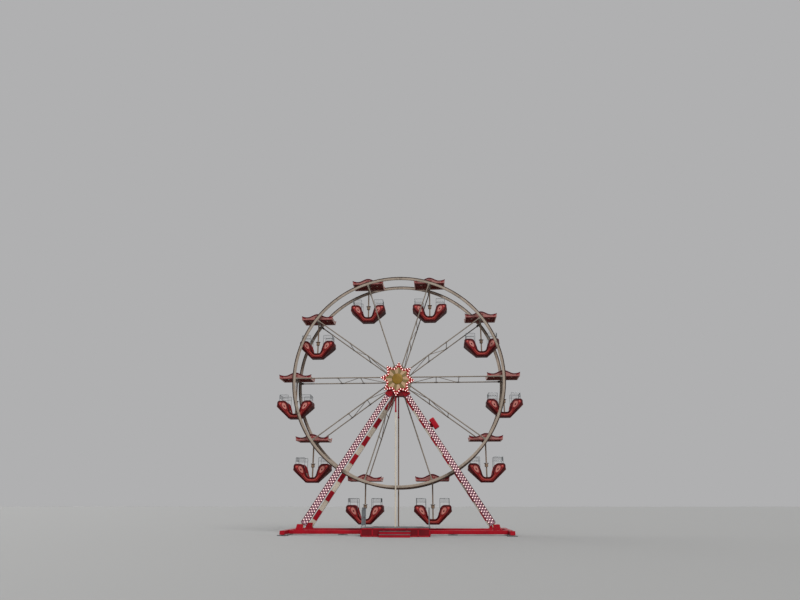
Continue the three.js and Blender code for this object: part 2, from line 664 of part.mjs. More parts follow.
// The towers and the base
for (const [place, head] of Object.entries(TOWERS)) {
  const { y } = head;
  part.add(named(`sill_${place}`, sillGeometry(y), TOWER_RED));
  part.add(named(`tower_head_${place}`, headGeometry(head), TOWER_RED));
  for (const [hand, side] of [
    ["left", -1],
    ["right", 1],
  ]) {
    part.add(named(`tower_leg_${place}_${hand}`, legGeometry(side, head), CREAM));
  }
  const postHalf = POST_WIDTH / 2;
  const post = block(
    POST_X - postHalf,
    POST_X + postHalf,
    y - postHalf,
    y + postHalf,
    beamTop + SEAT_GAP,
    HUB_HEIGHT - head.footDrop - SEAT_GAP,
  );
  part.add(named(`tower_post_${place}`, post, CREAM));
}
for (const [hand, side] of [
  ["left", -1],
  ["right", 1],
]) {
  part.add(named(`outrigger_${hand}`, outriggerGeometry(side), TOWER_RED));
  part.add(named(`light_board_${hand}`, lightBoardGeometry(side), BOARD_PINK));
  part.add(named(`deck_rail_${hand}`, railGeometry(side), STEEL));
}
part.add(named("middle_beam", middleBeamGeometry(), TOWER_RED));
part.add(named("loading_deck", deckGeometry(), DECK_GREY));
part.add(named("deck_steps", stepsGeometry(), DECK_GREY));
part.add(named("star", starGeometry(), CREAM));
part.add(named("leg_housing", housingGeometry(), TOWER_RED));

// The wheel, about the hub
const wheel = new THREE.Group();
wheel.position.set(0, 0, HUB_HEIGHT);
part.add(wheel);
wheel.add(named("hub", hubGeometry(), STEEL));
for (const [place, y] of [
  ["front", -RIM_SPACING / 2],
  ["back", RIM_SPACING / 2],
]) {
  const rim = named(`rim_${place}`, rimGeometry(), CREAM);
  rim.position.y = y;
  wheel.add(rim);
}
for (let i = 0; i < CAR_COUNT; i += 1) {
  const angle = (2 * Math.PI * i) / CAR_COUNT;
  const number = String(i + 1).padStart(2, "0");
  wheel.add(named(`spoke_${number}`, spokeGeometry(angle), CREAM));

  // The car hangs level from its axle, wherever the wheel stands.
  const car = new THREE.Group();
  car.position.copy(atSpoke(angle, RIM_RADIUS, 0));
  wheel.add(car);
  car.add(named(`car_${number}_canopy`, canopyGeometry(), MAROON));
  car.add(named(`car_${number}_tub`, tubGeometry(), SALMON));
}

export default part;
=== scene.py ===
"""A transportable ferris wheel with ten open cars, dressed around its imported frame.

Lengths are metres, +X is to the right seen from the front, +Y runs along the axle to the back, and +Z
is up. The wheel's own shapes are made about its centre and the cars' about their pivots, and then put
in place in their meshes.
"""

import logging
from dataclasses import dataclass
from enum import Enum, IntEnum
from math import atan2, cos, hypot, pi, radians, sin, sqrt, tau

import bmesh
import bpy
import numpy as np
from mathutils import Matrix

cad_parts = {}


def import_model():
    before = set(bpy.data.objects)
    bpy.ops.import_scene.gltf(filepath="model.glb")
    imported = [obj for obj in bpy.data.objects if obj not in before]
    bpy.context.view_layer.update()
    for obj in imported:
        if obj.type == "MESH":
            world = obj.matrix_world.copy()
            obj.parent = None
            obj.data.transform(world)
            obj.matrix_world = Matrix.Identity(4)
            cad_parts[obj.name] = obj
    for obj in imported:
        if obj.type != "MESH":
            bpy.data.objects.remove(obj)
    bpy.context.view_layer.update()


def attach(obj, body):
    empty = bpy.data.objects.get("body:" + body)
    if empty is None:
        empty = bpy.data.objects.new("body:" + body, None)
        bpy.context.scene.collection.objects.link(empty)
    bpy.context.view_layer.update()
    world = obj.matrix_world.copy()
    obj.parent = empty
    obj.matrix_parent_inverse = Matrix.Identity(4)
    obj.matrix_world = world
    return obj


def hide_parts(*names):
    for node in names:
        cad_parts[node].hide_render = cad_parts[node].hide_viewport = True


LOG = logging.getLogger("ferris_wheel")

HUB_HEIGHT = 8.75
WHEEL_RADIUS = 6.25
RIM_OFFSET = 0.895
RIM_HALF_HEIGHT = 0.095
FLANGE_REACH = 0.7
CAR_COUNT = 10
TOWER_OFFSET = 1.35
APEX_DROP = 0.26
STAR_DROP = 0.225
STAR_TURN = 0.096
LEG_SLOPE = 0.655
BEAM_TOP = 0.26
# Pieces that touch keep this gap.
SEAT_GAP = 0.0003
SIDES = (-1.0, 1.0)
SHARP_ANGLE = radians(35)
HANDS = (("left", -1.0), ("right", 1.0))
TOWERS = (("front", -TOWER_OFFSET), ("back", TOWER_OFFSET))

Point = tuple[float, float, float] | np.ndarray
Points = list | np.ndarray


class Surface(Enum):
    """How a surface was made, which sets the pattern that its material draws."""

    # Brush and spray leave faint ripples, a soft sheen, and streaks where the rain ran down.
    ENAMEL = "brushed or sprayed enamel on steel"
    # The mould leaves an even gloss, and the sun fades it in broad chalky patches.
    GELCOAT = "moulded glass fibre with a gel coat"
    # Zinc sets in crystals, so the grey breaks up into small facets.
    GALVANISED = "hot dip galvanised steel"
    # The lathe and the drawing die leave a tight bright face with small glints.
    MACHINED = "turned or cold drawn steel"
    # Raised bars catch the light leaning one way and the other.
    TREAD = "rolled tread plate"
    # Fine pits take in nearly all the light.
    RUBBER = "moulded rubber"
    # Stretched sheet has a fine grain of cells and broad soft highlights.
    VINYL = "stretched vinyl"
    # The frosted cap spreads its lamp into an even warm glow.
    LAMP = "frosted lamp cap, lit from inside"


@dataclass(frozen=True)
class Finish:
    """One finish: its surface, its colours as sRGB hex, and its gloss.

    Attributes:
        surface: How the surface was made.
        base: The clean colour.
        worn: The colour of its fading, dirt or spangle.
        roughness: The mean roughness.
        metallic: 1 for bare metal, 0 for paint and plastic.
        coat: The weight of a clear coat.
        shine: The strength of the reflection that isn't coloured, which metal doesn't use.
        grain: The size of its fine pattern in metres, several times the real one's, which is a
            millimetre or two and wouldn't show from where the wheel is seen.
        low: The colour that it fades to at the foot of a car's board, or an empty string.
    """

    surface: Surface
    base: str
    worn: str
    roughness: float = 0.45
    metallic: float = 0.0
    coat: float = 0.0
    shine: float = 0.15
    grain: float = 0.02
    low: str = ""


class Look(IntEnum):
    """The finishes by number, as the faces of a shape carry them."""

    CREAM = 0
    RIM_TRACK = 1
    TOWER_RED = 2
    SHADED_RED_AND_MAROON = 3
    TOWER_CREAM = 4
    POST_BROWN_AND_SHADE = 5
    FASCIA_PINK = 6
    FASCIA_EDGE = 7
    SCROLL_RED = 8
    END_PINK = 9
    CEILING = 10
    TUB_FIELD = 11
    TUB_BORDER = 12
    TUB_OUTSIDE = 13
    TUB_INSIDE = 14
    SEAT_VINYL = 15
    GUARD_WIRE = 16
    BRIGHT_STEEL = 17
    GALVANISED = 18
    BOARD_PINK = 19
    BOARD_MAROON = 20
    LAMP = 21
    STAR_GOLD = 22
    STAR_CREAM = 23
    STAR_RED = 24
    TREAD_PLATE = 25
    RUBBER = 26
    BOLT = 27
    TUB_PANEL = 28
    TUB_STRIPE_AND_HIGHLIGHT = 29
    TUB_LINE = 30
    STAR_CREAM_SHADED = 31
    CASING_TAN = 32
    SPOKE_CREAM_IN_SHADE = 33


Looks = Look | list[Look]

FINISHES: dict[Look, Finish] = {
    Look.CREAM: Finish(Surface.ENAMEL, "#978a7d", "#6f6458", 0.45),
    # The wheel's cream darkened to grey: painted shade on the spoke frames, whose tubes are seen from below
    # against the sky.
    Look.SPOKE_CREAM_IN_SHADE: Finish(Surface.ENAMEL, "#80766b", "#5e554b", 0.45),
    Look.RIM_TRACK: Finish(Surface.ENAMEL, "#3b2b23", "#261b14", 0.65),
    Look.TOWER_RED: Finish(Surface.ENAMEL, "#980a1c", "#720714", 0.36, coat=0.06),
    # A darker copy of the tower red: painted shade on the back tower's head and post, and on the saddles and
    # bearings between the arms. It is also the dark maroon of the deck's body and of the housing's seam and
    # bracket.
    Look.SHADED_RED_AND_MAROON: Finish(Surface.ENAMEL, "#6a0813", "#47060d", 0.5),
    Look.TOWER_CREAM: Finish(Surface.ENAMEL, "#c3b9a9", "#948a7b", 0.42),
    # The brown of the cars' posts. It is also a darker copy of the tower's cream, as painted shade on the
    # back tower's post.
    Look.POST_BROWN_AND_SHADE: Finish(Surface.ENAMEL, "#7d6a5a", "#544639", 0.5),
    Look.FASCIA_PINK: Finish(Surface.GELCOAT, "#96655f", "#74453f", 0.42, coat=0.04),
    Look.FASCIA_EDGE: Finish(Surface.GELCOAT, "#4f0b15", "#33070e", 0.4, coat=0.04),
    Look.SCROLL_RED: Finish(Surface.GELCOAT, "#7b0f1c", "#560b15", 0.38, coat=0.04),
    Look.END_PINK: Finish(Surface.GELCOAT, "#cba79e", "#a07c74", 0.42, coat=0.04),
    Look.CEILING: Finish(Surface.GELCOAT, "#6b2722", "#471a16", 0.6, shine=0.05),
    Look.TUB_FIELD: Finish(Surface.GELCOAT, "#801c20", "#5f1419", 0.38, coat=0.06, low="#8b201d"),
    Look.TUB_BORDER: Finish(Surface.GELCOAT, "#460509", "#2e0306", 0.36, coat=0.06),
    Look.TUB_OUTSIDE: Finish(Surface.GELCOAT, "#4c1713", "#2f0f0c", 0.6),
    Look.TUB_PANEL: Finish(Surface.GELCOAT, "#b4736a", "#8d5049", 0.42, coat=0.04),
    # The light orange-red of the stripe round the board's foot. It is also a painted highlight on the boss at
    # each lobe's tip.
    Look.TUB_STRIPE_AND_HIGHLIGHT: Finish(Surface.GELCOAT, "#b04a43", "#8b3630", 0.36, coat=0.06),
    Look.TUB_LINE: Finish(Surface.GELCOAT, "#a04a44", "#7b3430", 0.4, coat=0.04),
    Look.TUB_INSIDE: Finish(Surface.GELCOAT, "#a39484", "#7c6e62", 0.5),
    Look.SEAT_VINYL: Finish(Surface.VINYL, "#6e1a20", "#4b1216", 0.45, grain=0.012),
    Look.GUARD_WIRE: Finish(Surface.GALVANISED, "#7d8082", "#606466", 0.45, metallic=1.0, grain=0.03),
    Look.BRIGHT_STEEL: Finish(Surface.MACHINED, "#8b8885", "#5f5b57", 0.3, metallic=1.0, grain=0.01),
    Look.GALVANISED: Finish(Surface.GALVANISED, "#8d9194", "#6f7376", 0.42, metallic=1.0, grain=0.05),
    Look.CASING_TAN: Finish(Surface.ENAMEL, "#8d7662", "#655244", 0.5),
    Look.BOARD_PINK: Finish(Surface.ENAMEL, "#9c7683", "#765865", 0.42),
    Look.BOARD_MAROON: Finish(Surface.ENAMEL, "#54121d", "#340b12", 0.42),
    Look.LAMP: Finish(Surface.LAMP, "#ffe4da", "#ffcfc0", 0.25),
    Look.STAR_GOLD: Finish(Surface.ENAMEL, "#83620e", "#634809", 0.35, metallic=0.3, grain=0.03),
    Look.STAR_CREAM: Finish(Surface.ENAMEL, "#b39475", "#886f52", 0.4),
    # A darker olive copy of the star's cream, as painted shade on one side of each ray.
    Look.STAR_CREAM_SHADED: Finish(Surface.ENAMEL, "#7c6942", "#5e4f34", 0.42),
    Look.STAR_RED: Finish(Surface.ENAMEL, "#9a0f1b", "#6b0b14", 0.38, coat=0.06),
    Look.TREAD_PLATE: Finish(Surface.TREAD, "#77797a", "#55575a", 0.45, metallic=0.9, grain=0.06),
    Look.RUBBER: Finish(Surface.RUBBER, "#232323", "#343230", 0.8, grain=0.008),
    Look.BOLT: Finish(Surface.MACHINED, "#6d6a66", "#4b4845", 0.4, metallic=1.0, grain=0.006),
}


def linear(hex_colour: str) -> tuple[float, float, float, float]:
    """Turns an sRGB hex colour into linear light.

    Args:
        hex_colour: The colour as "#rrggbb".

    Returns:
        Red, green, blue and alpha, where c becomes ((c + 0.055) / 1.055) ** 2.4 above 0.04045.
    """
    shares = [int(hex_colour[i : i + 2], 16) / 255 for i in (1, 3, 5)]
    red, green, blue = (c / 12.92 if c <= 0.04045 else ((c + 0.055) / 1.055) ** 2.4 for c in shares)
    return red, green, blue, 1.0


def add_node(tree: bpy.types.NodeTree, kind: str, settings: dict, links: dict) -> bpy.types.Node:
    """Adds one node.

    Args:
        tree: The node tree.
        kind: Blender's name for the node.
        settings: Values for its sockets, or for its own settings, by name or socket number.
        links: Sockets to join to its inputs, by input name or number.

    Returns:
        The new node.
    """
    node = tree.nodes.new(kind)
    for name, value in settings.items():
        if isinstance(name, int) or name in node.inputs:
            node.inputs[name].default_value = value
        else:
            setattr(node, name, value)
    for name, socket in links.items():
        tree.links.new(socket, node.inputs[name])
    return node


class MaterialMaker:
    """Builds the node tree of one finish."""

    patch_size = 0.6
    streak_width = 0.05
    streak_stretch = 9.0
    gloss_patch_size = 0.25
    fade_heights = (-2.05, -1.55)
    lamp_strength = 1.1

    def __init__(self, look: Look) -> None:
        """Starts an empty material for a finish."""
        self.finish = FINISHES[look]
        self.material = bpy.data.materials.new(f"{self.finish.surface.name}_{look.name}".lower())
        self.material.use_nodes = True
        self.tree = self.material.node_tree
        self.tree.nodes.clear()
        self.place = add_node(self.tree, "ShaderNodeTexCoord", {}, {}).outputs["Object"]

    def noise(self, size: float, detail: float = 3.0, stretch: float = 1.0) -> bpy.types.NodeSocket:
        """Draws noise on the object's own coordinates.

        Args:
            size: The size of a patch in metres.
            detail: How many finer layers it has.
            stretch: How many times longer a patch is upwards than across.

        Returns:
            The noise, from 0 to 1.
        """
        stretched = add_node(
            self.tree, "ShaderNodeMapping", {"Scale": (1.0, 1.0, 1.0 / stretch)}, {"Vector": self.place}
        )
        spots = add_node(
            self.tree,
            "ShaderNodeTexNoise",
            {"Scale": 1.0 / size, "Detail": detail},
            {"Vector": stretched.outputs["Vector"]},
        )
        return spots.outputs["Fac"]

    def between(
        self, value: bpy.types.NodeSocket, low: float, high: float, to_low: float, to_high: float
    ) -> bpy.types.NodeSocket:
        """Spreads a value's range low..high over to_low..to_high, and returns the new value."""
        node = add_node(
            self.tree,
            "ShaderNodeMapRange",
            {"From Min": low, "From Max": high, "To Min": to_low, "To Max": to_high},
            {"Value": value},
        )
        return node.outputs["Result"]

    def mix(
        self, share: bpy.types.NodeSocket, first: str | bpy.types.NodeSocket, second: str
    ) -> bpy.types.NodeSocket:
        """Mixes a colour, as a hex string or a socket, with another one, and returns the mixed colour."""
        settings: dict = {"data_type": "RGBA"}
        links = {0: share}
        for number, colour in ((6, first), (7, second)):
            if isinstance(colour, str):
                settings[number] = linear(colour)
            else:
                links[number] = colour
        return add_node(self.tree, "ShaderNodeMix", settings, links).outputs[2]

    def colour(self) -> bpy.types.NodeSocket:
        """Mixes the clean colour with wear in broad patches and in streaks down the surface."""
        finish = self.finish
        base: str | bpy.types.NodeSocket = finish.base
        if finish.low:
            rise = add_node(self.tree, "ShaderNodeAttribute", {"attribute_name": "rise"}, {})
            share = self.between(rise.outputs["Fac"], *self.fade_heights, 0.0, 1.0)
            base = self.mix(share, finish.low, finish.base)
        patches = self.between(self.noise(self.patch_size), 0.35, 0.75, 0.0, 0.55)
        faded = self.mix(patches, base, finish.worn)
        streaks = self.noise(self.streak_width, 4.0, self.streak_stretch)
        return self.mix(self.between(streaks, 0.5, 0.8, 0.0, 0.5), faded, finish.worn)

    def relief(self) -> tuple[bpy.types.NodeSocket, float]:
        """Draws the fine relief of the surface.

        Returns:
            Its height from 0 to 1, and the real depth in metres.
        """
        finish = self.finish
        if finish.surface is Surface.TREAD:
            # Rows of raised bars that lean one way and the other, drawn at twice their real 30 mm.
            scale = (1.0 / finish.grain, 3.0 / finish.grain, 0.0)
            checks = []
            for lean in (1.0, -1.0):
                turned = add_node(
                    self.tree,
                    "ShaderNodeMapping",
                    {"Rotation": (0.0, 0.0, lean * pi / 4), "Scale": scale},
                    {"Vector": self.place},
                )
                cells = add_node(
                    self.tree,
                    "ShaderNodeTexVoronoi",
                    {"Randomness": 0.0},
                    {"Vector": turned.outputs["Vector"]},
                )
                checks.append(self.between(cells.outputs["Distance"], 0.25, 0.4, 1.0, 0.0))
            bars = add_node(
                self.tree, "ShaderNodeMath", {"operation": "MAXIMUM"}, {0: checks[0], 1: checks[1]}
            )
            return bars.outputs["Value"], 0.002
        if finish.surface in (Surface.GALVANISED, Surface.VINYL, Surface.RUBBER):
            cells = add_node(
                self.tree, "ShaderNodeTexVoronoi", {"Scale": 1.0 / finish.grain}, {"Vector": self.place}
            )
            return cells.outputs["Distance"], 0.0006
        return self.noise(finish.grain, 2.0), 0.0005

    def build(self) -> bpy.types.Material:
        """Builds the material and returns it."""
        finish = self.finish
        colour = self.colour()
        height, depth = self.relief()
        smooth, rough = max(0.05, finish.roughness - 0.08), min(1.0, finish.roughness + 0.14)
        roughness = self.between(self.noise(self.gloss_patch_size), 0.3, 0.7, smooth, rough)
        bump = add_node(self.tree, "ShaderNodeBump", {"Distance": depth, "Strength": 0.6}, {"Height": height})
        shader = add_node(
            self.tree,
            "ShaderNodeBsdfPrincipled",
            {
                "Metallic": finish.metallic,
                "Specular IOR Level": 0.5 if finish.metallic else finish.shine,
                "Coat Weight": finish.coat,
                "Coat Roughness": 0.15,
            },
            {"Base Color": colour, "Roughness": roughness, "Normal": bump.outputs["Normal"]},
        )
        if finish.surface is Surface.LAMP:
            shader.inputs["Emission Color"].default_value = linear(finish.base)
            shader.inputs["Emission Strength"].default_value = self.lamp_strength
        add_node(self.tree, "ShaderNodeOutputMaterial", {}, {"Surface": shader.outputs["BSDF"]})
        return self.material


@dataclass
class Shape:
    """A closed surface, or several.

    Attributes:
        points: The points, as rows of x, y and z.
        corners: The faces' point numbers, one face after another.
        sizes: How many corners each face has.
        looks: Each face's finish.
    """

    points: np.ndarray
    corners: np.ndarray
    sizes: np.ndarray
    looks: np.ndarray

    def reshaped(self, points: np.ndarray) -> "Shape":
        """Returns a shape with the same faces on other points."""
        return Shape(points, self.corners, self.sizes, self.looks)

    def moved(self, x: float, y: float, z: float) -> "Shape":
        """Returns the shape moved by x, y and z."""
        return self.reshaped(self.points + [x, y, z])

    def turned(self, angle: float) -> "Shape":
        """Returns the shape turned about the Y axis, from +X towards +Z."""
        c, s = cos(angle), sin(angle)
        return self.reshaped(self.points @ np.array([[c, 0.0, s], [0.0, 1.0, 0.0], [-s, 0.0, c]]))

    def flipped(self, axis: int) -> "Shape":
        """Returns the mirror image across the plane through the origin square to an axis."""
        return self.reshaped(self.points * np.where(np.arange(3) == axis, -1.0, 1.0))

    def repeated(self, places: Points) -> "Shape":
        """Returns copies of the shape, one moved by each row of places."""
        count = len(places)
        points = (self.points[None] + np.asarray(places, float)[:, None]).reshape(-1, 3)
        corners = (self.corners[None] + len(self.points) * np.arange(count)[:, None]).ravel()
        return Shape(points, corners, np.tile(self.sizes, count), np.tile(self.looks, count))


def joined(*shapes: Shape) -> Shape:
    """Returns one shape that holds all the given ones."""
    starts = np.cumsum([0] + [len(shape.points) for shape in shapes[:-1]])
    return Shape(
        np.concatenate([shape.points for shape in shapes]),
        np.concatenate([shape.corners + start for shape, start in zip(shapes, starts)]),
        np.concatenate([shape.sizes for shape in shapes]),
        np.concatenate([shape.looks for shape in shapes]),
    )


def skin(rows: np.ndarray, look: Look | np.ndarray, wrapped: bool = False) -> Shape:
    """Joins rows of closed loops into one closed surface.

    Args:
        rows: The points, as row, place in the loop, and x, y, z.
        look: The finish, or an array of finishes that spreads over rows and places.
        wrapped: Whether the last row joins the first. Otherwise the two ends are closed by flat faces.

    Returns:
        The surface, whose face i, j joins the points (i, j), (i, j + 1), (i + 1, j + 1) and (i + 1, j).
    """
    count, width = rows.shape[:2]
    steps = count if wrapped else count - 1
    i, j = np.meshgrid(np.arange(steps), np.arange(width), indexing="ij")
    here, there, right = width * (i % count), width * ((i + 1) % count), (j + 1) % width
    corners = np.stack([here + j, here + right, there + right, there + j], -1).ravel()
    sizes = np.full(steps * width, 4)
    looks = np.broadcast_to(np.asarray(look), (steps, width)).ravel()
    if not wrapped:
        corners = np.concatenate([corners, np.arange(width)[::-1], np.arange(width) + width * (count - 1)])
        sizes = np.concatenate([sizes, [width, width]])
        looks = np.concatenate([looks, [looks[0], looks[-1]]])
    return Shape(rows.reshape(-1, 3), corners, sizes, looks)


def unit(vectors: np.ndarray) -> np.ndarray:
    """Returns vectors, which lie along the last axis, at a length of 1."""
    return vectors / np.maximum(np.linalg.norm(vectors, axis=-1, keepdims=True), 1e-9)


def circle(radius: float, sides: int = 16) -> np.ndarray:
    """Returns an outline of points radius * (cos a, sin a) with a in equal steps."""
    angle = tau * np.arange(sides) / sides
    return radius * np.stack([np.cos(angle), np.sin(angle)], 1)


def rectangle(width: float, height: float, radius: float = 0.006, steps: int = 3) -> np.ndarray:
    """Returns the outline of a rectangle about the origin with rounded corners."""
    x, z = width / 2, height / 2
    return rounded([(-x, -z), (x, -z), (x, z), (-x, z)], radius, steps)


def rounded(points: Points, radius: float, steps: int = 4) -> np.ndarray:
    """Rounds the corners of an outline.

    Args:
        points: The corners as x, z pairs.
        radius: How far along its sides each corner starts to turn, at most 0.45 of a side.
        steps: How many short sides each corner gets.

    Returns:
        The outline, where a corner c between a and b becomes (1-s)^2 a + 2 s (1-s) c + s^2 b.
    """
    corner = np.asarray(points, float)
    back, ahead = np.roll(corner, 1, 0) - corner, np.roll(corner, -1, 0) - corner
    back_length = np.linalg.norm(back, axis=1, keepdims=True)
    ahead_length = np.linalg.norm(ahead, axis=1, keepdims=True)
    reach = np.minimum(radius, 0.45 * np.minimum(back_length, ahead_length))
    a = (corner + back / back_length * reach)[:, None]
    b = (corner + ahead / ahead_length * reach)[:, None]
    s = np.linspace(0.0, 1.0, steps + 1)[None, :, None]
    return ((1 - s) ** 2 * a + 2 * s * (1 - s) * corner[:, None] + s**2 * b).reshape(-1, 2)


def arc(
    first: tuple[float, float], bend: tuple[float, float], last: tuple[float, float], steps: int = 10
) -> np.ndarray:
    """Returns points on the curve (1-s)^2 first + 2 s (1-s) bend + s^2 last, without its first point."""
    s = np.linspace(0.0, 1.0, steps + 1)[1:, None]
    a, c, b = (np.asarray(point, float)[None] for point in (first, bend, last))
    return (1 - s) ** 2 * a + 2 * s * (1 - s) * c + s**2 * b


def both_halves(half: np.ndarray) -> np.ndarray:
    """Returns an outline of a right half, from the foot to the top, and its mirror image."""
    return np.concatenate([half, (half * [-1.0, 1.0])[::-1]])


def counter_clockwise(outline: np.ndarray) -> np.ndarray:
    """Returns an outline counter-clockwise, by the sign of its area."""
    x, z = outline.T
    area = (x * np.roll(z, -1) - z * np.roll(x, -1)).sum()
    return outline[::-1] if area < 0 else outline


def inset(outline: np.ndarray, distance: float) -> np.ndarray:
    """Moves an outline inwards.

    Args:
        outline: The points, counter-clockwise.
        distance: How far each side moves.

    Returns:
        The outline, with each point moved by distance * (m + n) / (1 + m . n), where m and n are the
        inward normals of its two sides.
    """
    ahead = unit(np.roll(outline, -1, 0) - outline)
    normal = np.stack([-ahead[:, 1], ahead[:, 0]], 1)
    other = np.roll(normal, 1, 0)
    return outline + distance * (normal + other) / np.maximum(1 + (normal * other).sum(1), 0.5)[:, None]


def plate(
    outline: np.ndarray, near: float, far: float, look: Look, side: Look | None = None, edge: float = 0.003
) -> Shape:
    """Makes a plate that stands square to the Y axis.

    Args:
        outline: Its outline in x and z, counter-clockwise seen from the front.
        near: Where it starts along Y.
        far: Where it ends along Y.
        look: The finish of its two faces.
        side: The finish of its narrow sides, or none for the same.
        edge: The width of its bevel.

    Returns:
        The closed shape, of four loops: inset at near, full at near + edge and far - edge, inset at far.
    """
    small = inset(outline, edge)
    loops = ((small, near), (outline, near + edge), (outline, far - edge), (small, far))
    rows = np.stack([np.insert(loop, 1, y, axis=1) for loop, y in loops])
    narrow = look if side is None else side
    return skin(rows, np.array([[look], [narrow], [look]]))


def border(
    outline: np.ndarray, width: float, near: float, far: float, look: Look, start: float = 0.0
) -> Shape:
    """Makes a flat bead that follows an outline.

    Args:
        outline: The outline in x and z, counter-clockwise seen from the front.
        width: The bead's width.
        near: Where it starts along Y.
        far: Where it ends along Y.
        look: Its finish.
        start: How far inside the outline it starts.

    Returns:
        A closed ring whose section has its front corners cut at a third of its thickness.
    """
    cut = (far - near) / 3
    section = [
        (start, far),
        (start, near + cut),
        (start + cut, near),
        (start + width - cut, near),
        (start + width, near + cut),
        (start + width, far),
    ]
    rows = np.stack([np.insert(inset(outline, reach), 1, y, axis=1) for reach, y in section])
    return skin(rows, look, wrapped=True)


def bar(
    start: Point,
    end: Point,
    outline: np.ndarray,
    look: Looks,
    edge: float = 0.002,
    cuts: tuple[float, ...] = (),
) -> Shape:
    """Carries an outline along a straight line.

    Args:
        start: Where the line starts.
        end: Where it ends.
        outline: The section, whose first number lies across the line and whose second along Y.
        look: The finish, or a list with one finish for each stretch between cuts.
        edge: The width of the bevel at both ends.
        cuts: Where the finish changes, as distances from the start.

    Returns:
        The closed bar.
    """
    a, b = np.asarray(start, float), np.asarray(end, float)
    length, along = float(np.linalg.norm(b - a)), unit(b - a)
    level = [0.0, 1.0, 0.0] if abs(along[1]) < 0.9 else [0.0, 0.0, 1.0]
    across = unit(np.cross(level, along))
    side = np.cross(along, across)
    places = np.array([0.0, edge, *cuts, length - edge, length])
    shrink = np.ones((len(places), 1, 1))
    extent = np.abs(outline).max()
    shrink[[0, -1]] = 1 - edge / extent
    flat = outline[None] * shrink
    rows = a + places[:, None, None] * along + flat[..., :1] * across + flat[..., 1:] * side
    if isinstance(look, Look):
        looks = np.full(len(places) - 1, int(look))
    else:
        looks = np.array([look[0], *look, look[-1]])
    return skin(rows, looks[:, None])


def tube(start: Point, end: Point, radius: float, look: Look, sides: int = 16) -> Shape:
    """Returns a round bar between two points."""
    return bar(start, end, circle(radius, sides), look, edge=min(0.002, radius / 5))


def block(low: Point, high: Point, look: Look, edge: float = 0.004) -> Shape:
    """Returns a box between two corners, with its edges bevelled."""
    x0, y0, z0 = low
    x1, y1, z1 = high
    outline = rounded([(x0, z0), (x1, z0), (x1, z1), (x0, z1)], edge, 2)
    return plate(outline, y0, y1, look, edge=edge)


def slab(
    half_width: float, half_depth: float, low: float, high: float, look: Look, edge: float = 0.004
) -> Shape:
    """Returns a box about the Z axis, between two heights."""
    return block((-half_width, -half_depth, low), (half_width, half_depth, high), look, edge)


def pipe(
    path: Points,
    radius: float,
    look: Look,
    sides: int = 8,
    closed: bool = False,
    reference: Point | None = None,
) -> Shape:
    """Carries a circle along a bent path.

    Args:
        path: The points of the path.
        radius: The pipe's radius.
        look: Its finish.
        sides: How many sides it has.
        closed: Whether the path's end joins its start.
        reference: A direction that the path never takes, or none for the axis along which it spreads least.

    Returns:
        The closed pipe, each ring square to the mean direction of the path at its point.
    """
    line = np.asarray(path, float)
    around = np.roll(line, -1, 0) - np.roll(line, 1, 0)
    direction = unit(around if closed else np.gradient(line, axis=0))
    if reference is None:
        reference = np.eye(3)[int(np.argmin(np.ptp(line, axis=0)))]
    across = unit(np.cross(direction, reference))
    up = np.cross(across, direction)
    ring = circle(radius, sides)
    rows = line[:, None] + ring[None, :, :1] * across[:, None] + ring[None, :, 1:] * up[:, None]
    return skin(rows, look, wrapped=closed)


def bent_path(corners: Points, turn: float, count: int) -> np.ndarray:
    """Rounds the corners of a path.

    Args:
        corners: The path's ends and corners.
        turn: How far before and after a corner it turns, at most 0.45 of the way to the next one.
        count: How many points each corner gets.

    Returns:
        The path, where a corner c between a and b becomes (1-s)^2 a + 2 s (1-s) c + s^2 b.
    """
    points = np.asarray(corners, float)
    s = np.linspace(0.0, 1.0, count)[:, None]
    pieces = [points[:1]]
    for before, here, after in zip(points[:-2], points[1:-1], points[2:]):
        back, ahead = before - here, after - here
        back_length, ahead_length = np.linalg.norm(back), np.linalg.norm(ahead)
        a = here + back / back_length * min(turn, 0.45 * back_length)
        b = here + ahead / ahead_length * min(turn, 0.45 * ahead_length)
        pieces.append((1 - s) ** 2 * a + 2 * s * (1 - s) * here + s**2 * b)
    return np.concatenate([*pieces, points[-1:]])


def lathe(
    profile: Points, look: Looks, axis: int = 1, segments: int = 32, closed: bool = False
) -> Shape:
    """Turns a profile about an axis through the origin.

    Args:
        profile: Pairs of radius and place along the axis.
        look: The finish, or a list with one finish for each stretch of the profile.
        axis: 0, 1 or 2 for X, Y or Z.
        segments: How many steps a turn has.
        closed: Whether the profile's end joins its start, as in a ring.

    Returns:
        The surface of points r * (cos a, sin a) at each place along the axis.
    """
    pairs = np.asarray(profile, float)
    ring = circle(1.0, segments)
    rows = np.zeros((len(pairs), segments, 3))
    first, second = [number for number in range(3) if number != axis]
    rows[..., first] = pairs[:, :1] * ring[:, 0]
    rows[..., second] = pairs[:, :1] * ring[:, 1]
    rows[..., axis] = pairs[:, 1:]
    looks = look if isinstance(look, Look) else np.array(look)[:, None]
    return skin(rows, looks, wrapped=closed)


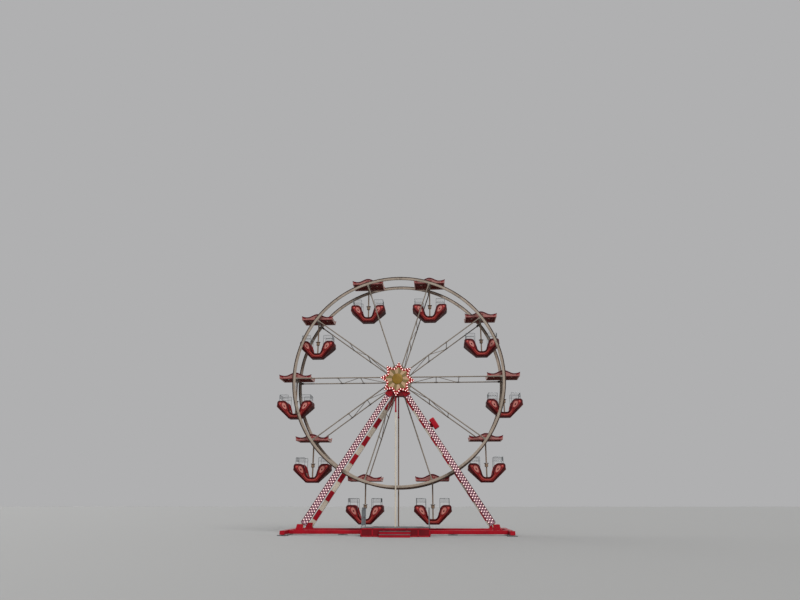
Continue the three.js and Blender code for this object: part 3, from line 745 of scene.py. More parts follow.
def cushion(length: float, width: float, height: float, look: Look) -> Shape:
    """Makes a crowned pad that lies on the origin, with a welt along its seam.

    Args:
        length: Its size along X.
        width: Its size along Y.
        height: How high its crown stands.
        look: Its finish.

    Returns:
        The pad. At a share t of its height its outline is scaled by 1 - 0.05 (0.4 - t) up to the seam at
        0.4, and by (1 - ((t - 0.4) / 0.6)^2)^0.35 above it.
    """
    outline = rectangle(length, width, 0.05, 5)
    low, seam = np.array([0.0, 0.15, 0.3]), 0.4
    high = np.array([0.4, 0.52, 0.66, 0.78, 0.88, 0.95, 0.985, 0.999])
    shares = np.concatenate([low, high])
    shrink = np.concatenate([1 - 0.05 * (seam - low), (1 - ((high - seam) / (1 - seam)) ** 2) ** 0.35])
    levels = zip(shrink[::-1], shares[::-1])
    rows = np.stack([np.insert(outline * s, 1, -height * t, axis=1) for s, t in levels])
    ring = np.insert(outline * 1.004, 1, -height * seam, axis=1)
    pad = joined(skin(rows, look), pipe(ring, 0.0035, look, 6, closed=True))
    return pad.reshaped(pad.points[:, [0, 2, 1]] * [1.0, 1.0, -1.0])


def bolts(places: Points, radius: float, height: float, axis: int = 1, towards: float = -1.0) -> Shape:
    """Makes hexagon bolt heads.

    Args:
        places: Where they stand.
        radius: The reach of their corners.
        height: How high they are.
        axis: 0, 1 or 2 for X, Y or Z, along which they stand.
        towards: The end of the axis that they point to, -1 or 1.

    Returns:
        The heads, each with its upper corners cut.
    """
    profile = [(radius, -0.002), (radius, 0.75 * height), (0.8 * radius, height)]
    head = lathe([(r, towards * h) for r, h in profile], Look.BOLT, axis, 6)
    return head.repeated(places)


def four_places(x: float, y: float, z: float, across: float, along: float) -> list[Point]:
    """Returns the four corners of a level rectangle about a point, from its half sizes."""
    return [(x + dx, y + dy, z) for dx in (-across, across) for dy in (-along, along)]


def lamp_cap(radius: float) -> Shape:
    """Returns a lamp cap on a dark collar, standing on the origin and facing the front."""
    dome = [(radius * cos(t), -0.3 * radius - 0.75 * radius * sin(t)) for t in (0.0, 0.5, 1.0, 1.35)]
    profile = [(1.15 * radius, 0.002), (1.15 * radius, -0.25 * radius), (radius, -0.3 * radius), *dome[1:]]
    looks = [Look.BOARD_MAROON, Look.BOARD_MAROON, Look.LAMP, Look.LAMP, Look.LAMP]
    return lathe(profile, looks, 1, 10)


def new_object(name: str, data: bpy.types.ID) -> bpy.types.Object:
    """Puts a new object with its data into the scene and returns it."""
    item = bpy.data.objects.new(name, data)
    bpy.context.scene.collection.objects.link(item)
    return item


def mesh_points(mesh: bpy.types.Mesh) -> np.ndarray:
    """Returns a mesh's points as rows of x, y and z."""
    points = np.zeros(len(mesh.vertices) * 3, np.float32)
    mesh.vertices.foreach_get("co", points)
    return points.reshape(-1, 3)


class Workshop:
    """Turns shapes into Blender objects that ride on the frame's bodies."""

    def __init__(self) -> None:
        """Starts with no materials made."""
        self.materials: dict[int, bpy.types.Material] = {}

    def material(self, look: int) -> bpy.types.Material:
        """Returns the material of a finish, made at its first use."""
        if look not in self.materials:
            self.materials[look] = MaterialMaker(Look(look)).build()
        return self.materials[look]

    def mesh(self, name: str, shape: Shape, cuts: tuple[float, ...] = ()) -> bpy.types.Mesh:
        """Makes a mesh with outward faces, and an edge kept sharp where it turns by over 35 degrees.

        Args:
            name: The mesh's name.
            shape: Its shape.
            cuts: Heights where its faces are cut level.

        Returns:
            The mesh.
        """
        mesh = bpy.data.meshes.new(name)
        used, numbers = np.unique(shape.looks, return_inverse=True)
        mesh.vertices.add(len(shape.points))
        mesh.vertices.foreach_set("co", shape.points.astype(np.float32).ravel())
        mesh.loops.add(len(shape.corners))
        mesh.loops.foreach_set("vertex_index", shape.corners.astype(np.int32))
        mesh.polygons.add(len(shape.sizes))
        mesh.polygons.foreach_set("loop_start", (np.cumsum(shape.sizes) - shape.sizes).astype(np.int32))
        mesh.update(calc_edges=True)
        for look in used:
            mesh.materials.append(self.material(int(look)))
        mesh.polygons.foreach_set("material_index", numbers.astype(np.int32))
        mesh.polygons.foreach_set("use_smooth", np.ones(len(shape.sizes), bool))
        work = bmesh.new()
        work.from_mesh(mesh)
        for height in cuts:
            everything = [*work.verts, *work.edges, *work.faces]
            bmesh.ops.bisect_plane(work, geom=everything, plane_co=(0, 0, height), plane_no=(0, 0, 1))
        bmesh.ops.recalc_face_normals(work, faces=work.faces)
        work.to_mesh(mesh)
        work.free()
        mesh.set_sharp_from_angle(angle=SHARP_ANGLE)
        return mesh

    @staticmethod
    def place(
        name: str, mesh: bpy.types.Mesh, body: str, slot: str, nodes: tuple[str, ...] = ()
    ) -> bpy.types.Object:
        """Puts a mesh into the scene.

        Args:
            name: The piece's name.
            mesh: Its mesh, already in place.
            body: The body that it rides on.
            slot: A material slot's name, which is not used.
            nodes: The nodes that it stands for.

        Returns:
            The new object.
        """
        piece = new_object(name, mesh)
        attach(piece, body)
        if nodes:
            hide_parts(*nodes)
        LOG.info("%s: %d faces on %s", name, len(mesh.polygons), body)
        return piece

    def piece(
        self, name: str, shape: Shape, body: str, slot: str, nodes: tuple[str, ...] = ()
    ) -> bpy.types.Object:
        """Makes a mesh of a shape and puts it into the scene."""
        return self.place(name, self.mesh(name, shape), body, slot, nodes)


@dataclass
class Rim:
    """One rim of the wheel: a rolled box section with a dark drive track on its outer edge."""

    inner: float = WHEEL_RADIUS - RIM_HALF_HEIGHT
    shoulder: float = WHEEL_RADIUS + 0.038
    outer: float = WHEEL_RADIUS + RIM_HALF_HEIGHT
    half_depth: float = 0.04
    track_half_depth: float = 0.036
    fishplate: tuple[float, float] = (0.11, 0.42)
    fishplate_thickness: float = 0.008
    segments: int = 200

    def shape(self) -> Shape:
        """Returns the rim about the wheel's centre, with its bolted joints halfway between the spokes."""
        half, narrow = self.half_depth, self.track_half_depth
        low, high = self.shoulder - 0.004, self.outer
        section = [(self.inner, -half), (self.shoulder, -half), (self.shoulder, half), (self.inner, half)]
        track = [(low, -narrow), (high, -narrow), (high, narrow), (low, narrow)]
        ring = lathe(rounded(section, 0.012, 3), Look.CREAM, 1, self.segments, closed=True)
        edge = lathe(rounded(track, 0.008, 2), Look.RIM_TRACK, 1, self.segments, closed=True)
        middle = (self.inner + self.shoulder) / 2
        face_y = half + self.fishplate_thickness
        joint = [plate(rectangle(*self.fishplate, 0.02), -face_y, face_y, Look.CREAM).moved(middle, 0.0, 0.0)]
        places = np.array([(middle + x, 0.0, z) for x in (-0.03, 0.03) for z in (-0.17, -0.1, 0.1, 0.17)])
        for face in SIDES:
            joint.append(bolts(places + [0.0, face * face_y, 0.0], 0.012, 0.012, 1, face))
        step = tau / CAR_COUNT
        joints = [joined(*joint).turned((number + 0.5) * step) for number in range(CAR_COUNT)]
        return joined(ring, edge, *joints)


@dataclass
class SpokeFrame:
    """One spoke frame: two tubes with struts and diagonals between them, and the car's axle at its end."""

    inner: float = FLANGE_REACH + SEAT_GAP
    outer: float = WHEEL_RADIUS - RIM_HALF_HEIGHT - SEAT_GAP
    inner_strut: float = 0.36 * WHEEL_RADIUS
    outer_strut: float = 0.577 * WHEEL_RADIUS
    tube_radius: float = 0.035
    brace_radius: float = 0.022
    diagonal_radius: float = 0.019
    clamp_radius: float = 0.043
    axle_radius: float = 0.034
    axle_half_length: float = 0.8545
    ear_face: float = 0.8547
    ear_thickness: float = 0.034
    ear_half_width: float = 0.055

    def shape(self) -> Shape:
        """Returns the frame along +X, about the wheel's centre."""
        # Every part of the frame takes the darker cream, as painted shade for the spokes' undersides.
        side, grey, reach, end = RIM_OFFSET, Look.SPOKE_CREAM_IN_SHADE, WHEEL_RADIUS, self.axle_half_length
        near, far = self.inner_strut, self.outer_strut
        parts = [
            tube((near, -side, 0), (near, side, 0), self.brace_radius, grey),
            tube((far, -side, 0), (far, side, 0), self.brace_radius, grey),
            tube((self.inner + 0.09, side, 0), (near - 0.05, -side, 0), self.diagonal_radius, grey, 12),
            tube((near + 0.05, -side, 0), (far - 0.05, side, 0), self.diagonal_radius, grey, 12),
            tube((reach, -end, 0), (reach, end, 0), self.axle_radius, Look.BRIGHT_STEEL, 24),
        ]
        return joined(*parts, *self.half(-1.0), *self.half(1.0))

    def half(self, face: float) -> list[Shape]:
        """Returns the pieces on the front side (face -1) or the back side (face 1)."""
        # These parts take the darker cream too, as painted shade.
        y, grey, inner, outer = face * RIM_OFFSET, Look.SPOKE_CREAM_IN_SHADE, self.inner, self.outer
        ear_inner = self.ear_face - self.ear_thickness
        wide = self.ear_half_width
        gusset = np.array([(-0.11, -0.012), (0.11, -0.012), (0.11, 0.012), (-0.11, 0.012)])
        parts = [
            tube((inner + 0.01, y, 0), (outer - 0.02, y, 0), self.tube_radius, grey, 20),
            block((inner, y - 0.055, -0.075), (inner + 0.022, y + 0.055, 0.075), grey),
            tube((inner + 0.02, y, 0), (inner + 0.1, y, 0), 0.045, grey, 20),
        ]
        for reach in (self.inner_strut, self.outer_strut):
            parts.append(tube((reach - 0.05, y, 0), (reach + 0.05, y, 0), self.clamp_radius, grey, 20))
            parts.append(bar((reach, y - face * 0.03, 0), (reach, y - face * 0.17, 0), gusset, grey, 0.004))
        low, high = sorted((face * ear_inner, face * (RIM_OFFSET + self.tube_radius)))
        parts.append(block((outer - 0.13, low, -wide), (outer, high, wide), grey, 0.006))
        tip = [(WHEEL_RADIUS + 0.05 * cos(t), wide * sin(t)) for t in np.linspace(-pi / 2, pi / 2, 14)[1:-1]]
        ear = np.array(
            [(outer - 0.1, -wide), (WHEEL_RADIUS, -wide), *tip, (WHEEL_RADIUS, wide), (outer - 0.1, wide)]
        )
        low, high = sorted((face * ear_inner, face * self.ear_face))
        parts.append(plate(ear, low, high, grey))
        collar = lathe([(0.052, 0.0), (0.052, 0.02), (0.044, 0.026)], Look.BRIGHT_STEEL, 1, 20)
        collar = collar.flipped(1) if face > 0 else collar
        parts.append(collar.moved(WHEEL_RADIUS, face * ear_inner, 0.0))
        top = face * (RIM_OFFSET + self.tube_radius)
        heads = [(outer - x, top, z) for x in (0.1, 0.03) for z in (-0.032, 0.032)]
        feet = [(inner + 0.022, y + dy, z) for dy in (-0.038, 0.038) for z in (-0.055, 0.055)]
        return [*parts, bolts(heads, 0.011, 0.01, 1, face), bolts(feet, 0.012, 0.012, 0, 1.0)]


@dataclass
class Hub:
    """The hub: a shaft through both towers, a drum and two ten-sided flanges with ribs."""

    flange_reach: float = FLANGE_REACH
    flange_half_depth: float = 0.04
    web_half_depth: float = 0.012
    ring_radius: float = 0.33
    ring_half_depth: float = 0.03
    bolt_circle: float = 0.29
    bolt_count: int = 20
    drum_radius: float = 0.24
    shaft_radius: float = 0.09
    shaft_end: float = 1.46
    collar_radius: float = 0.15
    collar_end: float = 1.21

    def flange(self) -> Shape:
        """Returns one flange about the wheel's centre: a web, a rim, and a rib to each spoke's seat."""
        corner = self.flange_reach / cos(pi / CAR_COUNT)
        seats = tau * (np.arange(CAR_COUNT) + 0.5) / CAR_COUNT
        outline = rounded(np.stack([corner * np.cos(seats), corner * np.sin(seats)], 1), 0.04, 3)
        depth = self.flange_half_depth
        parts = [
            plate(inset(outline, 0.01), -self.web_half_depth, self.web_half_depth, Look.CREAM),
            border(outline, 0.035, -depth, depth, Look.CREAM),
        ]
        root, tip = self.drum_radius - 0.02, self.flange_reach - 0.02
        rib = block((root, -depth + 0.006, -0.012), (tip, depth - 0.006, 0.012), Look.CREAM)
        ring_profile = [(self.ring_radius, -self.ring_half_depth), (self.ring_radius, self.ring_half_depth)]
        ring = lathe(ring_profile, Look.CREAM, 1, 48)
        reach, count = self.bolt_circle, self.bolt_count
        turns = tau * (np.arange(count) + 0.5) / count
        for face in SIDES:
            places = [(reach * cos(t), face * self.ring_half_depth, reach * sin(t)) for t in turns]
            parts.append(bolts(places, 0.016, 0.016, 1, face))
        parts.extend(rib.turned(tau * number / CAR_COUNT) for number in range(CAR_COUNT))
        return joined(ring, *parts)

    def shape(self) -> Shape:
        """Returns the hub about the wheel's centre."""
        shaft, collar, drum, end = self.shaft_radius, self.collar_radius, self.drum_radius, self.shaft_end
        profile = [
            (0.05, -end - 0.012),
            (shaft - 0.01, -end - 0.012),
            (shaft - 0.01, -end),
            (shaft, -end + 0.006),
            (shaft, -self.collar_end - 0.005),
            (collar, -self.collar_end),
            (collar, -RIM_OFFSET - 0.01),
            (drum - 0.01, -RIM_OFFSET - 0.005),
            (drum, -RIM_OFFSET + 0.01),
            (drum, -0.1),
            (drum + 0.02, -0.09),
        ]
        both = [*profile, *[(r, -y) for r, y in reversed(profile)]]
        looks = [Look.BRIGHT_STEEL] * 4 + [Look.CREAM] * (len(both) - 9) + [Look.BRIGHT_STEEL] * 4
        core = lathe(both, looks, 1, 40)
        flange = self.flange()
        return joined(core, flange.moved(0, -RIM_OFFSET, 0), flange.moved(0, RIM_OFFSET, 0))


def leg_point(side: float, reach: float, y: float, offset: float = 0.0) -> np.ndarray:
    """Finds a point on a leg's centre line.

    Args:
        side: -1 for the left leg and 1 for the right one.
        reach: The distance down the leg from where the two meet.
        y: The place along the axle.
        offset: How far the point stands off the line, on its upper side.

    Returns:
        The point (side * reach * s / l + side * offset / l, y, apex - reach / l + offset * s / l), where s
        is the leg's slope and l is the square root of 1 + s^2.
    """
    length = sqrt(1 + LEG_SLOPE**2)
    x = side * (reach * LEG_SLOPE + offset) / length
    return np.array([x, y, HUB_HEIGHT - APEX_DROP - (reach - offset * LEG_SLOPE) / length])


@dataclass
class Tower:
    """One of the two towers: a head with its bearing, two banded legs and a post."""

    y: float
    place: str
    leg_width: float = 0.22
    arm_width: float = 0.39
    leg_depth: float = 0.16
    band: float = 0.638
    first_band: float = 1.626
    head_depth: float = 0.26
    arm_length: float = 1.06
    foot_drop: float = 1.2
    foot_half_width: float = 0.4
    joints: tuple[int, ...] = (2, 6, 10)
    shoe_height: float = 0.3
    shoe_thickness: float = 0.016
    bearing_radius: float = 0.33
    bearing_bore: float = 0.0935
    bolt_circle: float = 0.24
    post_x: float = -0.11
    post_width: float = 0.08
    paint_drop: float = 2.07

    def along(
        self,
        side: float,
        start: float,
        end: float,
        outline: np.ndarray,
        look: Looks,
        edge: float = 0.002,
        cuts: tuple[float, ...] = (),
    ) -> Shape:
        """Returns a bar on a leg's line, from one distance down it to another."""
        return bar(leg_point(side, start, self.y), leg_point(side, end, self.y), outline, look, edge, cuts)

    def leg(self, side: float) -> Shape:
        """Returns a leg, banded in red and cream, with its joints and its foot."""
        y, drop = self.y, HUB_HEIGHT - APEX_DROP - BEAM_TOP
        foot = drop * sqrt(1 + LEG_SLOPE**2)
        top = self.arm_length + SEAT_GAP
        cuts = np.arange(self.first_band, foot - 0.1, self.band)
        looks = [Look.TOWER_CREAM if number % 2 else Look.TOWER_RED for number in range(len(cuts) + 1)]
        outline = rectangle(self.leg_width, self.leg_depth, 0.016, 3)
        parts = [self.along(side, top, foot - 0.085, outline, looks, 0.003, tuple(cuts - top))]
        collar = rectangle(self.leg_width + 0.03, self.leg_depth + 0.03, 0.02, 3)
        for number in self.joints:
            for lift, look in ((-0.024, looks[number]), (0.002, looks[number + 1])):
                reach = cuts[number] + lift
                parts.append(self.along(side, reach, reach + 0.022, collar, look))
        foot_x, low = side * drop * LEG_SLOPE, BEAM_TOP + 0.001
        parts.append(slab(0.26, 0.12, low, low + 0.025, Look.TOWER_RED).moved(foot_x, y, 0.0))
        high = low + self.shoe_height
        corners = [(-0.2, low), (0.2, low), (0.13, high), (-0.23, high)]
        shoe = counter_clockwise(rounded(corners, 0.02, 3) * [side, 1.0] + [foot_x, 0.0])
        inside = self.leg_depth / 2 + 0.001
        outside = inside + self.shoe_thickness
        for face in SIDES:
            near, far = sorted((y + face * inside, y + face * outside))
            pins = [(foot_x - side * x, y + face * outside, low + z) for x, z in ((0.05, 0.12), (0.09, 0.2))]
            parts.extend([plate(shoe, near, far, Look.TOWER_RED), bolts(pins, 0.018, 0.016, 1, face)])
        anchors = four_places(foot_x, y, low + 0.025, 0.22, 0.085)
        return joined(*parts, bolts(anchors, 0.017, 0.016, 2, 1.0))

    def head(self) -> Shape:
        """Returns the head: two arms, the arched saddle between them, and the bearing round the shaft."""
        half, y, end, front = self.head_depth / 2, self.y, self.arm_length, self.place == "front"
        outward = -1.0 if front else 1.0
        # The front head is in the tower red, and the back head takes the darker copy as painted shade.
        bright = Look.TOWER_RED if front else Look.SHADED_RED_AND_MAROON
        arm = rectangle(self.arm_width - 0.02, self.head_depth - 0.04, 0.02, 3)
        collar = rectangle(self.arm_width, self.head_depth - 0.012, 0.02, 3)
        parts = []
        for side in SIDES:
            parts.append(self.along(side, 0.12, end - 0.002, arm, bright, 0.006))
            parts.append(self.along(side, end - 0.045, end - 0.001, collar, bright, 0.004))
            rows = [(end - up, lift) for up in (0.3, 0.13) for lift in (-0.1, 0.1)]
            pins = [leg_point(side, reach, y + outward * (half - 0.02), lift) for reach, lift in rows]
            parts.append(bolts(pins, 0.018, 0.016, 1, outward))
        right = [(self.foot_half_width, -self.foot_drop), (0.24, -0.56), (0.24, -0.3)]
        saddle = both_halves(np.array(right)) + [0.0, HUB_HEIGHT]
        # The saddle between the arms is in the darker red, as painted shade.
        parts.append(plate(saddle, y - half + 0.03, y + half - 0.03, Look.SHADED_RED_AND_MAROON, edge=0.004))
        radius = self.bearing_radius
        nose = [(self.bearing_bore, -half), (radius - 0.03, -half), (radius, -half + 0.03)]
        bearing = [*nose, *[(r, -depth) for r, depth in reversed(nose)]]
        # The bearing is in the darker red, as painted shade.
        parts.append(lathe(bearing, Look.SHADED_RED_AND_MAROON, 1, 40, closed=True).moved(0, y, HUB_HEIGHT))
        # The star hides the front of the front bearing, so no bolts stand there.
        for face in (1.0,) if front else SIDES:
            ring = np.insert(circle(self.bolt_circle, 8) + [0.0, HUB_HEIGHT], 1, y + face * half, axis=1)
            parts.append(bolts(ring, 0.02, 0.018, 1, face))
        return joined(*parts)

    def post(self) -> Shape:
        """Returns the post beside the middle, red above and pale below, and the back one in darker copies as
        painted shade.
        """
        x, y, wide = self.post_x, self.y, self.post_width
        top, low = HUB_HEIGHT - self.foot_drop - SEAT_GAP, BEAM_TOP + SEAT_GAP
        change = HUB_HEIGHT - self.paint_drop
        front = self.place == "front"
        # The back post's darker red and brown are painted shade on the same red and cream paint.
        upper = Look.TOWER_RED if front else Look.SHADED_RED_AND_MAROON
        lower = Look.TOWER_CREAM if front else Look.POST_BROWN_AND_SHADE
        square, wider = rectangle(wide, wide, 0.01, 3), rectangle(wide + 0.02, wide + 0.02, 0.012, 3)
        post = bar((x, y, top), (x, y, low), square, [upper, lower], 0.003, (top - change,))
        foot = slab(0.11, 0.11, low, low + 0.02, lower).moved(x, y, 0.0)
        sleeve = bar((x, y, change + 0.06), (x, y, change - 0.06), wider, upper, 0.004)
        anchors = bolts(four_places(x, y, low + 0.02, 0.08, 0.08), 0.012, 0.012, 2, 1.0)
        return joined(post, foot, sleeve, anchors)


@dataclass
class LightBoard:
    """A tapered board of lamps on the front of a leg."""

    side: float
    top: float = 1.08
    thickness: float = 0.06
    top_width: float = 0.29
    foot_width: float = 0.38
    inset: float = 0.03
    pitch: float = 0.168
    lamp_radius: float = 0.024
    column: float = 0.33
    diamond: tuple[float, float] = (0.055, 0.036)
    foot_gap: float = 0.32

    def shape(self) -> Shape:
        """Returns the board, its diamonds and its lamps."""
        drop = HUB_HEIGHT - APEX_DROP - BEAM_TOP - self.foot_gap
        length = drop * sqrt(1 + LEG_SLOPE**2) - self.top
        top, foot, pitch, side = self.top_width / 2, self.foot_width / 2, self.pitch, self.column
        face = -TOWER_OFFSET - Tower.leg_depth / 2 - SEAT_GAP
        front = face - self.thickness
        corners = [self.flat(s, w) for s, w in ((0.0, -top), (0.0, top), (length, foot), (length, -foot))]
        outline = counter_clockwise(rounded(corners, 0.02, 3))
        parts = [
            plate(outline, front + 0.014, face, Look.BOARD_PINK, Look.BOARD_MAROON),
            border(outline, 0.022, front, front + 0.02, Look.BOARD_MAROON),
        ]
        long, wide = self.diamond
        diamond = np.array([(-long, 0.0), (0.0, wide), (long, 0.0), (0.0, -wide)])
        lamps = []
        for number in range(int((length - 0.12) / pitch)):
            s = 0.1 + number * pitch
            width = self.top_width + (self.foot_width - self.top_width) * s / length
            for share, lift in ((-side, 0.0), (side, 0.0), (0.0, 0.5)):
                x, z = self.flat(s + lift * pitch, share * width)
                lamps.append((x, front + 0.014, z))
            for share, lift in ((0.0, 0.0), (-side, 0.5), (side, 0.5)):
                points = [self.flat(*point) for point in diamond + [s + lift * pitch, share * width]]
                lozenge = counter_clockwise(np.array(points))
                parts.append(plate(lozenge, front + 0.006, front + 0.016, Look.BOARD_MAROON, edge=0.002))
        return joined(*parts, lamp_cap(self.lamp_radius).repeated(lamps))

    def flat(self, s: float, w: float) -> tuple[float, float]:
        """Returns x and z of a point s down the board and w across it, outwards from its middle."""
        point = leg_point(self.side, self.top + s, 0.0, w - self.inset)
        return float(point[0]), float(point[2])


@dataclass
class Star:
    """The star on the front tower: a lit red star, a cream inner star with ridges, and a gold boss."""

    rays: int = 8
    tip: float = 1.03
    valley: float = 0.682
    cream_tip: float = 0.72
    cream_valley: float = 0.535
    disc: float = 0.31
    back: float = -TOWER_OFFSET - Tower.head_depth / 2 - SEAT_GAP

    def outline(self, tip: float, valley: float) -> np.ndarray:
        """Returns a star's outline, its tips and valleys in turn."""
        angle = pi / 2 - STAR_TURN + pi * np.arange(2 * self.rays) / self.rays
        radius = np.where(np.arange(2 * self.rays) % 2 == 0, tip, valley)
        return np.stack([radius * np.cos(angle), radius * np.sin(angle)], 1)

    def faceted(self, tip: float, valley: float, low: float, high: float) -> Shape:
        """Makes a star whose rays rise from their edges to ridges that run in towards the boss.

        Args:
            tip: The reach of its tips.
            valley: The reach of its valleys.
            low: How far its edge stands off the back.
            high: How far its ridges do.

        Returns:
            The star, with one side of each ray in a darker olive copy of the cream as painted shade, and the
            rest in cream.
        """
        outline = self.outline(tip, valley)
        spread = 0.5 * outline
        spread[1::2] *= 0.97
        rows = np.stack(
            [
                np.insert(outline, 1, self.back - low + 0.02, axis=1),
                np.insert(outline, 1, self.back - low, axis=1),
                np.insert(spread, 1, self.back - high, axis=1),
            ]
        )
        # One side of each ray takes the olive copy of the cream, as painted shade on that facet.
        sides = np.where(np.arange(2 * self.rays) % 2 == 0, Look.STAR_CREAM, Look.STAR_CREAM_SHADED)
        return skin(rows, np.stack([np.full(2 * self.rays, Look.STAR_CREAM), sides]))

    def shape(self) -> Shape:
        """Returns the star about the legs' meeting point."""
        back = self.back
        outer = self.outline(self.tip, self.valley)
        parts = [
            plate(outer, back - 0.07, back, Look.STAR_RED, edge=0.004),
            border(outer, 0.014, back - 0.076, back - 0.066, Look.BOARD_MAROON),
            self.faceted(self.cream_tip, self.cream_valley, 0.084, 0.104),
        ]
        boss = [
            (self.disc, -0.085),
            (self.disc, -0.122),
            (self.disc - 0.012, -0.134),
            (0.24, -0.142),
            (0.12, -0.1475),
            (0.02, -0.149),
        ]
        parts.append(lathe(boss, Look.STAR_GOLD, 1, 64).moved(0, back, 0))
        parts.append(self.lamps(inset(outer, 0.042), 3, 0.028, 0.07))
        parts.append(self.lamps(self.outline(0.82, 0.585), 2, 0.018, 0.07))
        return joined(*parts)

    def lamps(self, line: np.ndarray, steps: int, radius: float, depth: float) -> Shape:
        """Returns lamps at even steps along each side of an outline."""
        ahead = np.roll(line, -1, 0)
        shares = (np.arange(steps) / steps)[None, :, None]
        places = (line[:, None] * (1 - shares) + ahead[:, None] * shares).reshape(-1, 2)
        return lamp_cap(radius).repeated(np.insert(places, 1, self.back - depth, axis=1))


@dataclass
class LegHousing:
    """The red housing on the right leg: a box with soft corners on a bracket."""

    reach: float = 2.926
    length: float = 0.65
    offset: float = 0.37
    size: float = 0.3
    cover: float = 0.16
    corner: float = 0.06
    turn: float = 0.05

    def shape(self) -> Shape:
        """Returns the housing, with its cover's seam, its catches and its bracket."""
        y = -TOWER_OFFSET
        seam = self.reach + self.cover
        outline = rectangle(self.size, self.size, self.corner, 6)
        parts = [
            self.swelling(self.reach, seam - 0.004, outline, y, True, False),
            self.swelling(seam + 0.004, self.reach + self.length, outline, y, False, True),
            bar(
                leg_point(1, seam - 0.02, y, self.offset),
                leg_point(1, seam + 0.02, y, self.offset),
                rectangle(self.size - 0.02, self.size - 0.02, 0.055, 6),
                Look.SHADED_RED_AND_MAROON,
            ),
        ]
        middle = self.reach + self.length / 2
        parts.append(
            bar(
                leg_point(1, middle, y, Tower.leg_width / 2 + SEAT_GAP),
                leg_point(1, middle, y, self.offset - self.size / 2 + 0.02),
                rectangle(0.26, 0.1, 0.01, 2),
                Look.SHADED_RED_AND_MAROON,
                0.003,
            )
        )
        for face in SIDES:
            level = y + face * self.size / 2
            places = [leg_point(1, seam, level, self.offset + shift) for shift in (-0.09, 0.09)]
            parts.append(bolts(places, 0.014, 0.014, 1, face))
        return joined(*parts)

    def swelling(
        self, start: float, end: float, outline: np.ndarray, y: float, soft_start: bool, soft_end: bool
    ) -> Shape:
        """Makes a stretch of the box.

        Args:
            start: Where it starts, as a distance down the leg.
            end: Where it ends.
            outline: Its section.
            y: Its place along the axle.
            soft_start: Whether its start pulls in along a quarter circle.
            soft_end: Whether its end does.

        Returns:
            The stretch, where a soft end at an angle a lies turn * (1 - sin a) inside and its section is
            narrower by turn * (1 - cos a) all round.
        """
        angle = np.linspace(0.0, pi / 2, 6)
        soft = self.turn * (1 - np.sin(angle)), 1 - 2 * self.turn / self.size * (1 - np.cos(angle))
        flush = np.zeros(1), np.ones(1)
        start_depths, start_sizes = soft if soft_start else flush
        end_depths, end_sizes = soft if soft_end else flush
        reaches = np.concatenate([start + start_depths[::-1], end - end_depths])
        sizes = np.concatenate([start_sizes[::-1], end_sizes])
        base = leg_point(1, 0.0, y, self.offset)
        along = leg_point(1, 1.0, y, self.offset) - base
        across = leg_point(1, 0.0, y, self.offset + 1.0) - base
        flat = outline[None] * sizes[:, None, None]
        rows = base + reaches[:, None, None] * along + flat[..., :1] * across
        return skin(rows + flat[..., 1:] * [0.0, 1.0, 0.0], Look.TOWER_RED)


